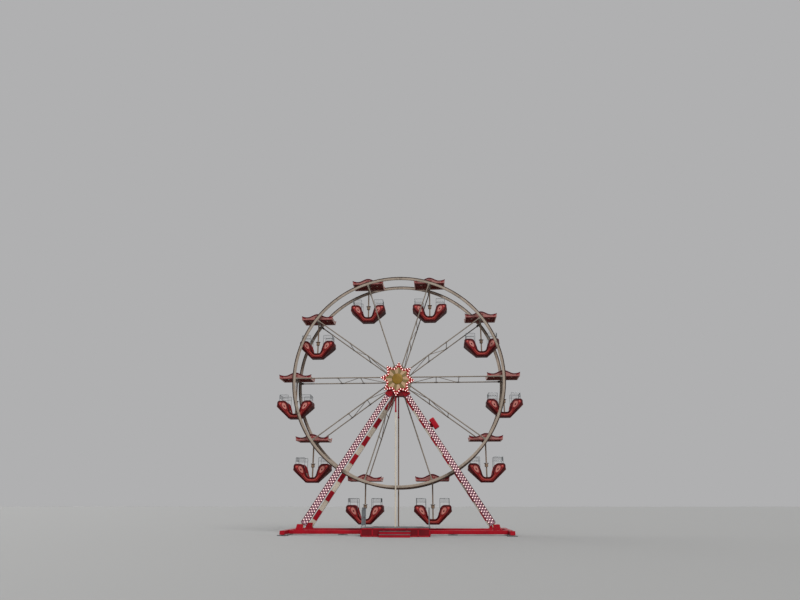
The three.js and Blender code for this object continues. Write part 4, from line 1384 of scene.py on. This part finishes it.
@dataclass
class Canopy:
    """A car's canopy about the pivot, with the sleeve on the axle and the post down to the floor."""

    half_width: float = 0.98
    half_depth: float = 0.625
    foot: float = 0.042
    low: float = 0.225
    crest: float = 0.2
    end_rise: float = 0.08
    board: float = 0.04
    floor: float = -2.25
    table_top: float = -1.22
    wave: float = 0.64
    seams: tuple[float, ...] = (-0.62, -0.31, 0.0, 0.31, 0.62)
    ribs: tuple[float, ...] = (-0.7, -0.36, 0.36, 0.7)
    lamp_x: float = 0.53
    grip_radius: float = 0.136

    def wavy_edge(self, share: np.ndarray) -> np.ndarray:
        """Returns the height of the canopy's upper edge.

        Args:
            share: The distance from the middle as a share of the half width.

        Returns:
            low + crest * (1 + cos(pi u / wave)) / 2 up to a share u equal to wave, and past it
            low + end_rise * ((u - wave) / (1 - wave))^2.
        """
        middle = self.low + self.crest * (0.5 + 0.5 * np.cos(pi * share / self.wave))
        end = self.low + self.end_rise * ((share - self.wave) / (1 - self.wave)) ** 2
        return np.where(share < self.wave, middle, end)

    def fascia_outline(self) -> np.ndarray:
        """Returns the outline of the canopy's front board."""
        share = np.linspace(1.0, 1.0 / 32, 32)
        top = np.stack([share * self.half_width, self.wavy_edge(share)], 1)
        return both_halves(np.concatenate([[(self.half_width - 0.03, self.foot)], top]))

    def fascia(self) -> Shape:
        """Returns the front board with its dark upper edge, its end pieces and its scrolls."""
        near, far = -self.half_depth, -self.half_depth + self.board
        parts = [plate(self.fascia_outline(), near + 0.008, far, Look.FASCIA_PINK, Look.FASCIA_EDGE)]
        share = np.linspace(-1.0, 1.0, 81)
        crest = self.wavy_edge(np.abs(share)) - 0.002
        x = share * (self.half_width - 0.003)
        upper = np.stack([x, crest], 1)
        lower = np.stack([x, crest - 0.072 - 0.016 * np.cos(pi * share)], 1)
        parts.append(plate(np.concatenate([lower, upper[::-1]]), near, near + 0.014, Look.FASCIA_EDGE))
        wide, low, high = self.half_width - 0.032, self.foot + 0.001, self.foot + 0.022
        strip = np.array([(-wide, low), (wide, low), (wide + 0.002, high), (-wide - 0.002, high)])
        parts.append(plate(strip, near, near + 0.012, Look.SCROLL_RED))
        turn = tau * np.arange(20) / 20
        for side in SIDES:
            petal = np.stack([0.1 * np.cos(turn), 0.045 * np.sin(turn)], 1)
            petal[:, 1] += 0.25 * petal[:, 0] * side
            petal += [side * 0.82, 0.175]
            parts.append(plate(petal, near + 0.001, near + 0.012, Look.SCROLL_RED))
            parts.append(self.volute(side, near))
        drop = np.stack([0.035 * np.sin(turn), 0.25 - 0.065 * np.cos(turn)], 1)
        parts.append(plate(drop, near + 0.001, near + 0.014, Look.SCROLL_RED))
        return joined(*parts)

    @staticmethod
    def volute(side: float, near: float) -> Shape:
        """Returns one scroll beside the crest: a pipe along a spiral of radius 0.008 + 0.05 t."""
        t = np.linspace(0.0, 1.0, 26)
        angle = 1.6 * tau * t
        radius = 0.008 + 0.05 * t
        x = side * (0.105 + radius * np.cos(angle))
        z = 0.205 + radius * np.sin(angle)
        path = np.stack([x, np.full_like(x, near + 0.006), z], 1)
        return pipe(path, 0.0085, Look.SCROLL_RED, 6)

    def shape(self) -> Shape:
        """Returns the canopy with its ceiling, ribs, end boards, sleeve and bracket."""
        fascia = self.fascia()
        inner = self.half_depth - self.board
        wide = self.half_width - 0.03
        seam = slab(0.012, inner - 0.004, 0.18, 0.196, Look.FASCIA_EDGE)
        rib = slab(0.02, inner, 0.112, 0.141, Look.CEILING)
        parts = [
            fascia,
            fascia.flipped(1),
            slab(wide, inner + 0.01, 0.14, 0.175, Look.CEILING),
            slab(wide - 0.03, inner - 0.004, 0.176, 0.182, Look.FASCIA_PINK),
            seam.repeated([(x, 0, 0) for x in self.seams]),
            rib.repeated([(x, 0, 0) for x in self.ribs]),
        ]
        low, high = (wide - 0.04, -inner - 0.006, self.foot + 0.004), (wide, inner + 0.006, 0.2)
        end = block(low, high, Look.END_PINK)
        lamp = lathe([(0.05, 0.139), (0.05, 0.12), (0.035, 0.108)], Look.TUB_INSIDE, 2, 20)
        lamps = lamp.repeated([(side * self.lamp_x, 0, 0) for side in SIDES])
        return joined(*parts, end, end.flipped(0), lamps, *self.hanger(), *self.post())

    @staticmethod
    def hanger() -> list[Shape]:
        """Returns the sleeve on the axle with its clamps, and the webs that carry the canopy."""
        bore = SpokeFrame.axle_radius + 0.002
        sleeve = [(bore, -0.26), (0.056, -0.26), (0.058, -0.25), (0.058, 0.25), (0.056, 0.26), (bore, 0.26)]
        parts = [lathe(sleeve, Look.CREAM, 1, 28, closed=True)]
        clamp = [(0.05, -0.03), (0.068, -0.03), (0.072, -0.02), (0.072, 0.02), (0.068, 0.03), (0.05, 0.03)]
        web = np.array([(-0.16, 0.142), (-0.05, 0.03), (0.05, 0.03), (0.16, 0.142)])
        for y in (-0.2, 0.2):
            parts.append(lathe(clamp, Look.CREAM, 1, 28, closed=True).moved(0, y, 0))
            parts.append(plate(web, y - 0.008, y + 0.008, Look.CREAM))
        return [*parts, slab(0.03, 0.25, 0.044, 0.142, Look.CREAM)]

    def post(self) -> list[Shape]:
        """Returns the post down the middle with its table on a tan casing, its hand ring and its foot."""
        bottom, upper = self.floor + 0.0005, self.table_top
        casing = [(0.05, -0.22), (0.09, -0.22), (0.1, -0.205), (0.1, -0.03), (0.09, -0.018), (0.05, -0.016)]
        table = [(0.05, -0.035), (0.12, -0.032), (0.143, -0.026), (0.146, -0.012), (0.14, -0.002), (0.05, 0)]
        grip = np.insert(circle(self.grip_radius, 36), 2, upper - 0.012, axis=1)
        square = rectangle(0.076, 0.076, 0.012, 3)
        return [
            bar((0, 0, -0.046), (0, 0, bottom + 0.004), square, Look.POST_BROWN_AND_SHADE),
            slab(0.085, 0.085, bottom, bottom + 0.014, Look.POST_BROWN_AND_SHADE),
            slab(0.045, 0.06, -0.15, -0.044, Look.CREAM, 0.008),
            lathe(casing, Look.CASING_TAN, 2, 32).moved(0, 0, upper),
            lathe(table, Look.CASING_TAN, 2, 32).moved(0, 0, upper),
            pipe(grip, 0.012, Look.BRIGHT_STEEL, 8, closed=True),
            bolts(four_places(0, 0, bottom + 0.014, 0.065, 0.065), 0.01, 0.01, 2, 1.0),
        ]


@dataclass
class Tub:
    """A car's tub about the pivot: two U-shaped side boards that lean in under the seats, and the shell."""

    half_depth: float = 0.44
    foot_half_depth: float = 0.23
    board: float = 0.04
    foot_half_width: float = 0.345
    ledge_x: float = 1.05
    flare: float = 0.025
    cheek: tuple[float, float] = (0.93, -1.62)
    cheek_bend: tuple[float, float] = (1.03, -1.505)
    lobe_far_x: float = 0.89
    lobe_near_x: float = 0.7
    lobe_bend_x: float = 0.47
    arm: tuple[float, float] = (0.39, -1.5)
    arm_bend: tuple[float, float] = (0.345, -1.62)
    neck: tuple[float, float] = (0.31, -1.75)
    sill_bend_x: float = 0.25
    sill_x: float = 0.1
    bottom: float = -2.3
    floor: float = -2.25
    sill: float = -2.01
    knee: float = -1.78
    ledge: float = -1.6
    lobe_foot: float = -1.45
    lobe_shoulder: float = -1.4
    lobe_top: float = -1.25
    seat: float = -1.76
    bend: float = 0.07
    guard_top: float = -0.89
    guard_middle: float = -1.1
    guard_near: float = 0.4
    guard_far: float = 0.93
    border_width: float = 0.09
    panel: tuple[float, float] = (0.61, -1.575)
    panel_lean: float = 1.0
    boss: tuple[float, float] = (0.865, -1.42)
    cushion_width: float = 0.375
    back_top: float = -1.32
    bench: tuple[float, float] = (0.38, 0.78)
    well_half_width: float = 0.33

    def leaned(self, points: np.ndarray) -> np.ndarray:
        """Leans points in below the knee.

        Args:
            points: Rows of x, y and z of the straight tub.

        Returns:
            The points with |y| less by s * f(knee - z), where s is the lean's slope and f(d) is 0 up to -b,
            (d + b)^2 / 4b between -b and the bend's b, and d past it.
        """
        slope = (self.half_depth - self.foot_half_depth) / (self.knee - self.bottom)
        depth = self.knee - points[:, 2]
        soft = np.clip(depth + self.bend, 0.0, 2 * self.bend) ** 2 / (4 * self.bend)
        shift = slope * np.where(depth > self.bend, depth, soft)
        moved = points.copy()
        moved[:, 1] -= np.sign(points[:, 1]) * shift
        return moved

    def outline(self) -> np.ndarray:
        """Returns the outline of the side board: a flat foot, flared ends, two lobes and a low sill."""
        run, rise = self.cheek[0] - self.foot_half_width, self.cheek[1] - self.bottom
        top, lobe_foot = self.lobe_top, (self.ledge_x, self.lobe_foot)
        right = np.concatenate(
            [
                [(self.foot_half_width * t, self.bottom) for t in (0.5, 0.97)],
                [(self.foot_half_width + run * t, self.bottom + rise * t) for t in np.linspace(0.02, 1.0, 9)],
                arc(self.cheek, self.cheek_bend, lobe_foot, 10),
                [(self.ledge_x, self.lobe_shoulder)],
                arc((self.ledge_x, self.lobe_shoulder), (self.ledge_x, top), (self.lobe_far_x, top), 10),
                [(x, top) for x in np.linspace(self.lobe_far_x, self.lobe_near_x, 5)[1:]],
                arc((self.lobe_near_x, top), (self.lobe_bend_x, top), self.arm, 14),
                arc(self.arm, self.arm_bend, self.neck, 6),
                arc(self.neck, (self.sill_bend_x, self.sill), (self.sill_x, self.sill), 12),
                [(x, self.sill) for x in (0.05, 0.015)],
            ]
        )
        return both_halves(right)

    def side_board(self) -> Shape:
        """Returns the front board with its raised edge, its lines, and the panels on its lobes."""
        outline = self.outline()
        near = -self.half_depth
        parts = [
            plate(outline, near + 0.012, near + self.board, Look.TUB_FIELD, Look.TUB_BORDER, 0.004),
            border(outline, self.border_width, near, near + 0.022, Look.TUB_BORDER),
            border(outline, 0.011, near + 0.006, near + 0.02, Look.TUB_LINE, self.border_width + 0.003),
        ]
        turn = tau * np.arange(28) / 28
        bend = arc((0.0, -2.155), (0.2, -2.155), (0.3, -2.06), 8)
        ribbon_half = np.concatenate([bend, arc((0.3, -2.06), (0.38, -1.98), (0.48, -1.86), 6)])
        middle = np.concatenate([(ribbon_half * [-1.0, 1.0])[::-1], [(0.0, -2.155)], ribbon_half])
        ahead = unit(np.gradient(middle, axis=0))
        across = np.stack([-ahead[:, 1], ahead[:, 0]], 1)
        width = 0.034 * np.sqrt(1 - np.linspace(-0.98, 0.98, len(middle)) ** 4)[:, None]
        ribbon = np.concatenate([middle - across * width, (middle + across * width)[::-1]])
        parts.append(plate(ribbon, near + 0.004, near + 0.018, Look.TUB_STRIPE_AND_HIGHLIGHT, edge=0.004))
        for side in SIDES:
            panel = self.slanted(turn, 0.225, 0.115, side, 0.25)
            parts.append(plate(panel, near + 0.006, near + 0.02, Look.TUB_PANEL, edge=0.008))
            parts.append(border(panel, 0.012, near, near + 0.012, Look.TUB_BORDER, -0.004))
            jewel = self.slanted(turn, 0.06, 0.035, side, 0.0)
            parts.append(plate(jewel, near, near + 0.014, Look.TUB_BORDER, edge=0.01))
            # A raised boss at each lobe's outer tip. Its lighter red is a painted highlight where the tip
            # catches the light.
            boss = lathe([(0.062, 0.02), (0.062, 0.008), (0.05, 0.0), (0.02, -0.001)], Look.TUB_STRIPE_AND_HIGHLIGHT, 1, 20)
            parts.append(boss.moved(side * self.boss[0], near + 0.001, self.boss[1]))
        return joined(*parts)

    def slanted(
        self, turn: np.ndarray, length: float, width: float, side: float, taper: float
    ) -> np.ndarray:
        """Draws a leaf along an arm of the board, on the panel's place.

        Args:
            turn: Angles round the leaf.
            length: Its half length.
            width: Its half width.
            side: -1 for the left arm and 1 for the right one.
            taper: How much wider it is at its upper end, as a share.

        Returns:
            The outline of points (l cos a, w (1 + k cos a) sin a), turned by the panel's lean and moved.
        """
        x, z = length * np.cos(turn), width * (1 + taper * np.cos(turn)) * np.sin(turn)
        right, up = cos(self.panel_lean), sin(self.panel_lean)
        points = np.stack([x * right - z * up, x * up + z * right], 1) + self.panel
        return counter_clockwise(points * [side, 1.0])

    def shell(self) -> Shape:
        """Returns the shell: its outside, the two benches and the footwell, with a rail along each end."""
        right = [
            (self.foot_half_width, self.bottom),
            (self.ledge_x + self.flare, self.ledge),
            (self.ledge_x - 0.025, self.back_top),
            (self.ledge_x - 0.07, self.back_top),
            (self.bench[1], self.seat),
            (self.bench[0], self.seat),
            (self.well_half_width, self.floor),
        ]
        corners = np.array([*right, *[(-x, z) for x, z in reversed(right)]])
        steps = 4
        outline = rounded(corners, 0.03, steps)
        inner = self.half_depth - self.board + 0.004
        looks = [*[Look.TUB_OUTSIDE] * 3, *[Look.TUB_INSIDE] * 7, *[Look.TUB_OUTSIDE] * 4]
        rows = np.stack([np.insert(outline, 1, y, axis=1) for y in (-inner, inner)])
        shell = skin(rows, np.repeat(looks, steps + 1)[None, :])
        low, high = self.back_top - 0.012, self.back_top + 0.015
        cap = rounded([(0.97, low), (1.035, low), (1.03, high), (0.975, high)], 0.01, 3)
        rail = plate(cap, -inner, inner, Look.TUB_BORDER, edge=0.004)
        return joined(shell, rail, rail.flipped(0))

    def straight(self) -> Shape:
        """Returns the boards and the shell before they lean."""
        board = self.side_board()
        return joined(self.shell(), board, board.flipped(1))

    def knee_cuts(self) -> tuple[float, ...]:
        """Returns the heights where faces are cut, so that they can bend."""
        return tuple(self.knee + self.bend * share for share in (-1.0, -0.5, 0.0, 0.5, 1.0))

    def seats(self) -> Shape:
        """Returns the seat and back pads of the two benches, and the footwell's tread plates."""
        wide, vinyl = self.cushion_width, Look.SEAT_VINYL
        seat = cushion(0.35, wide, 0.055, vinyl).moved(0.57, 0.0, self.seat - 0.002)
        back = cushion(0.4, wide, 0.045, vinyl).turned(1.144).moved(0.88, 0.0, -1.54)
        low, high = self.floor - 0.002, self.floor + 0.003
        tread = block((0.09, -0.2, low), (0.32, 0.2, high), Look.TREAD_PLATE, 0.002)
        half = joined(*[pad.moved(0.0, y, 0.0) for pad in (seat, back) for y in (-0.195, 0.195)], tread)
        return joined(half, half.flipped(0))

    def guards(self) -> Shape:
        """Returns the wire guards over the lobes and across the ends."""
        y, level, look = self.half_depth - 0.02, self.guard_middle, Look.GUARD_WIRE
        high, near_x, far_x = self.guard_top - 0.008, self.guard_near, self.guard_far
        wire = tube((0, 0, level), (0, 0, high), 0.0035, look, 5)
        parts = []
        for side in SIDES:
            near, far = side * near_x, side * far_x
            corners = [(near, -y), (far, -y), (far, y), (near, y)]
            top = [(*corner, high) for corner in corners]
            parts.append(bent_wire([(near, -y, self.ledge), *top, (near, y, self.ledge)], 0.0115))
            parts.append(bent_wire([(*corner, level) for corner in corners], 0.0085))
            for face in SIDES:
                corner = (far, face * y)
                parts.append(tube((*corner, self.lobe_top - 0.1), (*corner, high - 0.01), 0.0115, look, 8))
            across = [(x, face * y, 0) for x in np.linspace(near, far, 9)[1:-1] for face in SIDES]
            along = [(far, depth, 0) for depth in np.linspace(-y, y, 13)[1:-1]]
            parts.append(wire.repeated([*across, *along]))
        return joined(*parts)


def bent_wire(corners: Points, radius: float) -> Shape:
    """Returns a guard's wire along a path, with a slanting reference so that it doesn't twist at corners."""
    return pipe(bent_path(corners, 0.04, 5), radius, Look.GUARD_WIRE, reference=(0.48, 0.6, 0.64))


@dataclass
class Base:
    """The base on the ground: two sills, two outriggers with their pads, and the beam between the sills."""

    sill_width: float = 0.26
    outrigger_x: float = 6.08
    outrigger_half: float = 2.5
    pad: float = 0.52
    middle_pad: float = 0.04
    middle_top: float = 0.11
    beam_height: float = 0.16

    def beam(self, start: Point, end: Point, height: float = 0.2) -> Shape:
        """Makes a hollow-section beam with an end plate at each end.

        Args:
            start: The middle of its first end.
            end: The middle of its other end.
            height: How high it is.

        Returns:
            The beam and its plates.
        """
        a, b = np.array(start, float), np.array(end, float)
        along = unit(b - a)
        outline = rectangle(self.sill_width - 0.02, height, 0.02, 4)
        parts = [self.run(a + 0.012 * along, b - 0.012 * along, outline)]
        plate_outline = rectangle(self.sill_width, height, 0.012, 3)
        for place in (a, b - 0.014 * along):
            parts.append(self.run(place, place + 0.014 * along, plate_outline))
        return joined(*parts)

    @staticmethod
    def run(a: np.ndarray, b: np.ndarray, outline: np.ndarray) -> Shape:
        """Carries a section whose width lies level and whose height is upright between two points."""
        length, along, up = float(np.linalg.norm(b - a)), unit(b - a), np.array([0.0, 0.0, 1.0])
        level = np.cross(along, up)
        places = np.array([0.0, 0.002, length - 0.002, length])
        flat = outline[None] * np.array([0.985, 1.0, 1.0, 0.985])[:, None, None]
        rows = a + places[:, None, None] * along + flat[..., :1] * level + flat[..., 1:] * up
        return skin(rows, Look.TOWER_RED)

    @staticmethod
    def foot(x: float, y: float, width: float, depth: float, height: float = 0.06) -> Shape:
        """Makes a ground pad: a rubber sole, a steel plate and a round collar under the beam.

        Args:
            x: The pad's middle.
            y: The pad's middle along the axle.
            width: Its size along X.
            depth: Its size along Y.
            height: The height of the beam over the ground.

        Returns:
            The pad.
        """
        sole, top, zinc = 0.37 * height, 0.7 * height, Look.GALVANISED
        radius = min(0.09, width / 3, depth / 3)
        collar = [(radius, top - 0.002), (radius, height - 0.008)]
        collar += [(0.6 * radius, height - 0.004), (0.6 * radius, height + 0.006)]
        return joined(
            slab(width / 2, depth / 2, 0.0, sole, Look.RUBBER, 0.005),
            slab(width / 2 - 0.015, depth / 2 - 0.015, sole - 0.001, top, zinc),
            lathe(collar, zinc, 2, 24),
        ).moved(x, y, 0.0)

    def sill(self, y: float) -> Shape:
        """Returns one sill with its three pads and its ribs."""
        end = self.outrigger_x - self.sill_width / 2 - SEAT_GAP
        level = self.beam_height
        beam = self.beam((-end, y, level), (end, y, level))
        foot = self.foot(0.0, y, self.pad, self.sill_width - 0.002)
        rib = slab(0.01, 0.13, 0.065, 0.255, Look.TOWER_RED).moved(0.0, y, 0.0)
        feet = foot.repeated([(x, 0, 0) for x in (-3.0, 0.0, 3.0)])
        ribs = rib.repeated([(side * x, 0, 0) for side in SIDES for x in (1.2, 2.4, 3.6, 4.8)])
        return joined(beam, feet, ribs)

    def outrigger(self, side: float) -> Shape:
        """Returns one outrigger with its two pads."""
        x, reach, level = side * self.outrigger_x, self.outrigger_half, self.beam_height
        parts = [self.beam((x, -reach, level), (x, reach, level))]
        for end in SIDES:
            middle = end * (reach - self.pad / 2)
            parts.append(self.foot(x, middle, self.pad, self.pad))
            screw = [(0.03, 0.25), (0.03, 0.262), (0.022, 0.266)]
            parts.append(lathe(screw, Look.BRIGHT_STEEL, 2, 20).moved(x, middle, 0.0))
        places = [(x + dx, y, 0.2598) for dx in (-0.09, 0.09) for y in (-1.46, -1.24, 1.24, 1.46)]
        parts.append(bolts(places, 0.016, 0.014, 2, 1.0))
        return joined(*parts)

    def middle(self) -> Shape:
        """Returns the low beam between the sills with the pad at the origin."""
        end = TOWER_OFFSET - self.sill_width / 2 - SEAT_GAP
        low, top = self.middle_pad, self.middle_top
        middle = (low + top) / 2
        beam = self.beam((0, -end, middle), (0, end, middle), top - low)
        return joined(beam, self.foot(0.0, 0.0, 0.258, self.pad, low))


@dataclass
class Deck:
    """The loading deck with its bridge over the sill, its steps and its rails."""

    top: float = 0.43
    half_width: float = 1.8
    near: float = -3.3
    far: float = -TOWER_OFFSET - Base.sill_width / 2 - SEAT_GAP
    bridge_half: float = 1.4
    bridge_far: float = -0.74
    rail_height: float = 1.0
    plank_edge: float = 0.6
    plank_joint: float = -2.4

    def shape(self) -> Shape:
        """Returns the deck: red skirts, tread plate above, and the bridge round the tower's post."""
        top, wide, near, far = self.top, self.half_width, self.near, self.far
        red, dark = Look.TOWER_RED, Look.SHADED_RED_AND_MAROON
        parts = [block((-wide + 0.012, near + 0.012, 0.02), (wide - 0.012, far - 0.012, top - 0.012), dark)]
        for low, high in ((top - 0.07, top - 0.006), (0.0, 0.06)):
            for start, end in ((near, near + 0.03), (far - 0.03, far)):
                parts.append(block((-wide, start, low), (wide, end, high), red))
            for start, end in ((-wide, -wide + 0.03), (wide - 0.03, wide)):
                parts.append(block((start, near, low), (end, far, high), red))
        post = block((-0.03, near, 0.0), (0.03, near + 0.028, top - 0.01), red)
        parts.append(post.repeated([(x, 0, 0) for x in np.linspace(-wide + 0.03, wide - 0.03, 7)]))
        edge, joint = self.plank_edge, self.plank_joint
        for low, high in ((-wide + 0.004, -edge - 0.004), (-edge, edge), (edge + 0.004, wide - 0.004)):
            for start, end in ((near + 0.002, joint - 0.002), (joint + 0.002, far)):
                parts.append(block((low, start, top - 0.014), (high, end, top), Look.TREAD_PLATE, 0.002))
        return joined(*parts, *self.bridge())

    def bridge(self) -> list[Shape]:
        """Returns the bridge over the sill in plates that leave room for the tower's post."""
        top, wide, near, far = self.top, self.bridge_half, self.far + 0.001, self.bridge_far
        room = Tower.post_width / 2 + 0.02
        hole_left, hole_right = Tower.post_x - room, Tower.post_x + room
        hole_near, hole_far = -TOWER_OFFSET - room, -TOWER_OFFSET + room
        low, dark, tread = BEAM_TOP + 0.0004, Look.SHADED_RED_AND_MAROON, Look.TREAD_PLATE
        parts = []
        for x0, x1, y0, y1 in (
            (-wide, hole_left, near, far),
            (hole_right, wide, near, far),
            (hole_left, hole_right, near, hole_near),
            (hole_left, hole_right, hole_far, far),
        ):
            parts.append(block((x0 + 0.001, y0, low), (x1 - 0.001, y1, top - 0.012), dark, 0.002))
            parts.append(block((x0 + 0.001, y0, top - 0.013), (x1 - 0.001, y1, top), tread, 0.002))
        end = wide + 0.006
        return [*parts, block((-end, far - 0.02, top - 0.07), (end, far + 0.006, top), Look.TOWER_RED)]

    def steps(self) -> Shape:
        """Returns the two steps up to the deck, each a red riser under a tread."""
        back = self.near - SEAT_GAP
        parts = []
        for depth, height in ((0.32, 2 * self.top / 3), (0.62, self.top / 3)):
            near = back - depth
            parts.append(block((-0.79, near + 0.02, 0.0), (0.79, back, height - 0.02), Look.TOWER_RED))
            parts.append(block((-0.8, near, height - 0.022), (0.8, back, height), Look.TREAD_PLATE, 0.003))
        return joined(*parts)

    def rail(self, side: float) -> Shape:
        """Returns one handrail: two uprights on foot plates, a bent top rail, a middle rail and bars."""
        x, zinc = side * (self.half_width - 0.06), Look.GALVANISED
        near, far = self.near + 0.08, self.far - 0.08
        low, top = self.top + SEAT_GAP, self.top + self.rail_height - 0.021
        corners = [(x, near, low), (x, near, top), (x, far, top), (x, far, low)]
        parts = [pipe(bent_path(corners, 0.12, 10), 0.021, zinc, 16)]
        for height in (low + 0.5, low + 0.12):
            parts.append(tube((x, near, height), (x, far, height), 0.017, zinc))
        bars = tube((x, 0, low + 0.12), (x, 0, top), 0.008, zinc, 10)
        parts.append(bars.repeated([(0, y, 0) for y in np.linspace(near, far, 14)[1:-1]]))
        foot = slab(0.05, 0.05, low, low + 0.01, zinc, 0.003)
        parts.append(foot.repeated([(x, near, 0), (x, far, 0)]))
        return joined(*parts)


@dataclass
class Studio:
    """The floor, the light and the camera."""

    focal_pixels: float = 617.0
    image_pixels: float = 800.0
    sensor: float = 36.0
    place: tuple[float, float, float] = (2.2, -37.05, 1.60)
    pitch: float = 18.306
    yaw: float = 3.309
    floor_reach: float = 400.0
    floor_colour: str = "#8f8f8e"
    sky_colour: str = "#b0b0b1"

    def build(self) -> None:
        """Makes the pale floor, an overcast sky's soft light and the camera."""
        self.floor()
        self.sky()
        self.lights()
        self.camera()

    def floor(self) -> None:
        """Makes the floor, which reaches past what the camera sees."""
        mesh = bpy.data.meshes.new("studio_floor")
        reach = self.floor_reach
        corners = [(-reach, -reach, 0), (reach, -reach, 0), (reach, reach, 0), (-reach, reach, 0)]
        mesh.from_pydata(corners, [], [(0, 1, 2, 3)])
        floor = new_object("studio_floor", mesh)
        paint = bpy.data.materials.new("studio_floor")
        paint.use_nodes = True
        shader = paint.node_tree.nodes["Principled BSDF"]
        shader.inputs["Base Color"].default_value = linear(self.floor_colour)
        shader.inputs["Roughness"].default_value = 0.9
        mesh.materials.append(paint)

    def sky(self) -> None:
        """Makes the even light of an overcast sky."""
        world = bpy.data.worlds.new("overcast")
        world.use_nodes = True
        background = world.node_tree.nodes["Background"]
        background.inputs["Color"].default_value = linear(self.sky_colour)
        background.inputs["Strength"].default_value = 1.0
        bpy.context.scene.world = world

    @staticmethod
    def lights() -> None:
        """Makes a broad sun from the front and a weaker one from behind, both soft as under cloud."""
        for name, turn, energy, spread in (
            ("key", (48.0, 0.0, 22.0), 3.0, 35.0),
            ("fill", (60.0, 0.0, -130.0), 1.3, 60.0),
        ):
            light = bpy.data.lights.new(name, "SUN")
            light.energy = energy
            light.angle = radians(spread)
            new_object(name, light).rotation_euler = [radians(angle) for angle in turn]

    def camera(self) -> None:
        """Makes the camera, low down in front of the wheel and looking up at it."""
        camera = bpy.data.cameras.new("camera")
        camera.sensor_width = self.sensor
        camera.lens = self.sensor * self.focal_pixels / self.image_pixels
        camera.clip_end = 1000.0
        holder = new_object("camera", camera)
        holder.location = self.place
        holder.rotation_euler = (radians(90.0 + self.pitch), 0.0, radians(self.yaw))
        bpy.context.scene.camera = holder
        bpy.context.scene.view_settings.view_transform = "Standard"


def build_wheel(shop: Workshop) -> None:
    """Builds the rims, the spoke frames and the hub."""
    rim = Rim().shape()
    for place, y in (("front", -RIM_OFFSET), ("back", RIM_OFFSET)):
        shop.piece(f"{place}_rim", rim.moved(0, y, HUB_HEIGHT), "wheel", "wheel_cream", (f"rim_{place}",))
    spoke = SpokeFrame().shape()
    for number in range(CAR_COUNT):
        turned = spoke.turned(tau * number / CAR_COUNT).moved(0, 0, HUB_HEIGHT)
        name = f"{number + 1:02d}"
        shop.piece(f"spoke_frame_{name}", turned, "wheel", "wheel_cream", (f"spoke_{name}",))
    shop.piece("hub_and_shaft", Hub().shape().moved(0, 0, HUB_HEIGHT), "wheel", "hub_steel", ("hub",))


def build_towers(shop: Workshop) -> None:
    """Builds both towers with what the front one carries."""
    for place, y in TOWERS:
        tower = Tower(y, place)
        if place == "back":
            tower = Tower(y, place, 0.28, 0.33, arm_length=0.58, foot_drop=0.8, foot_half_width=0.22)
        for hand, side in HANDS:
            node = f"tower_leg_{place}_{hand}"
            shop.piece(f"banded_leg_{place}_{hand}", tower.leg(side), "base", "tower_paint", (node,))
        shop.piece(f"head_{place}", tower.head(), "base", "tower_red", (f"tower_head_{place}",))
        shop.piece(f"post_{place}", tower.post(), "base", "tower_paint", (f"tower_post_{place}",))
    for hand, side in HANDS:
        board = LightBoard(side).shape()
        shop.piece(f"lamp_board_{hand}", board, "base", "board_pink", (f"light_board_{hand}",))
    star = Star().shape().moved(0, 0, HUB_HEIGHT - STAR_DROP)
    shop.piece("lamp_star", star, "base", "star_cream", ("star",))
    shop.piece("red_housing", LegHousing().shape(), "base", "tower_red", ("leg_housing",))


def build_base(shop: Workshop) -> None:
    """Builds the base and the loading deck."""
    base = Base()
    for place, y in TOWERS:
        shop.piece(f"{place}_sill", base.sill(y), "base", "base_red", (f"sill_{place}",))
    for hand, side in HANDS:
        shop.piece(f"{hand}_outrigger", base.outrigger(side), "base", "base_red", (f"outrigger_{hand}",))
    shop.piece("beam_between_sills", base.middle(), "base", "base_red", ("middle_beam",))
    deck = Deck()
    shop.piece("deck", deck.shape(), "base", "deck_metal", ("loading_deck",))
    shop.piece("steps", deck.steps(), "base", "deck_metal", ("deck_steps",))
    for hand, side in HANDS:
        shop.piece(f"{hand}_rail", deck.rail(side), "base", "steel_tube", (f"deck_rail_{hand}",))


def build_cars(shop: Workshop) -> None:
    """Builds one car's meshes, with each point's height under its pivot, and hangs ten copies."""
    tub = Tub()
    kinds = (
        ("canopy_and_post", shop.mesh("canopy", Canopy().shape()), "canopy_maroon", "canopy"),
        ("tub_body", shop.mesh("tub", tub.straight(), tub.knee_cuts()), "tub_salmon", "tub"),
        ("seats", shop.mesh("seats", tub.seats()), "tub_salmon", ""),
        ("guards", shop.mesh("guards", tub.guards()), "tub_salmon", ""),
    )
    for kind, mesh, *_ in kinds:
        points = mesh_points(mesh)
        if kind == "tub_body":
            points = tub.leaned(points)
            mesh.vertices.foreach_set("co", points.ravel())
        rise = mesh.attributes.new("rise", "FLOAT", "POINT")
        rise.data.foreach_set("value", np.ascontiguousarray(points[:, 2]))
    for number in range(CAR_COUNT):
        angle = tau * number / CAR_COUNT
        name = f"car_{number + 1:02d}"
        offset = np.array([WHEEL_RADIUS * cos(angle), 0.0, HUB_HEIGHT + WHEEL_RADIUS * sin(angle)])
        for kind, mesh, slot, node in kinds:
            copy = mesh.copy()
            copy.vertices.foreach_set("co", (mesh_points(copy) + offset).astype(np.float32).ravel())
            copy.update()
            nodes = (f"{name}_{node}",) if node else ()
            shop.place(f"{name}_{kind}", copy, name, slot, nodes)
    for kind in kinds:
        bpy.data.meshes.remove(kind[1])


def main() -> None:
    """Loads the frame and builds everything."""
    logging.basicConfig(level=logging.INFO, format="%(message)s")
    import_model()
    Studio().build()
    shop = Workshop()
    build_wheel(shop)
    build_towers(shop)
    build_base(shop)
    build_cars(shop)


if __name__ == "__main__":
    main()
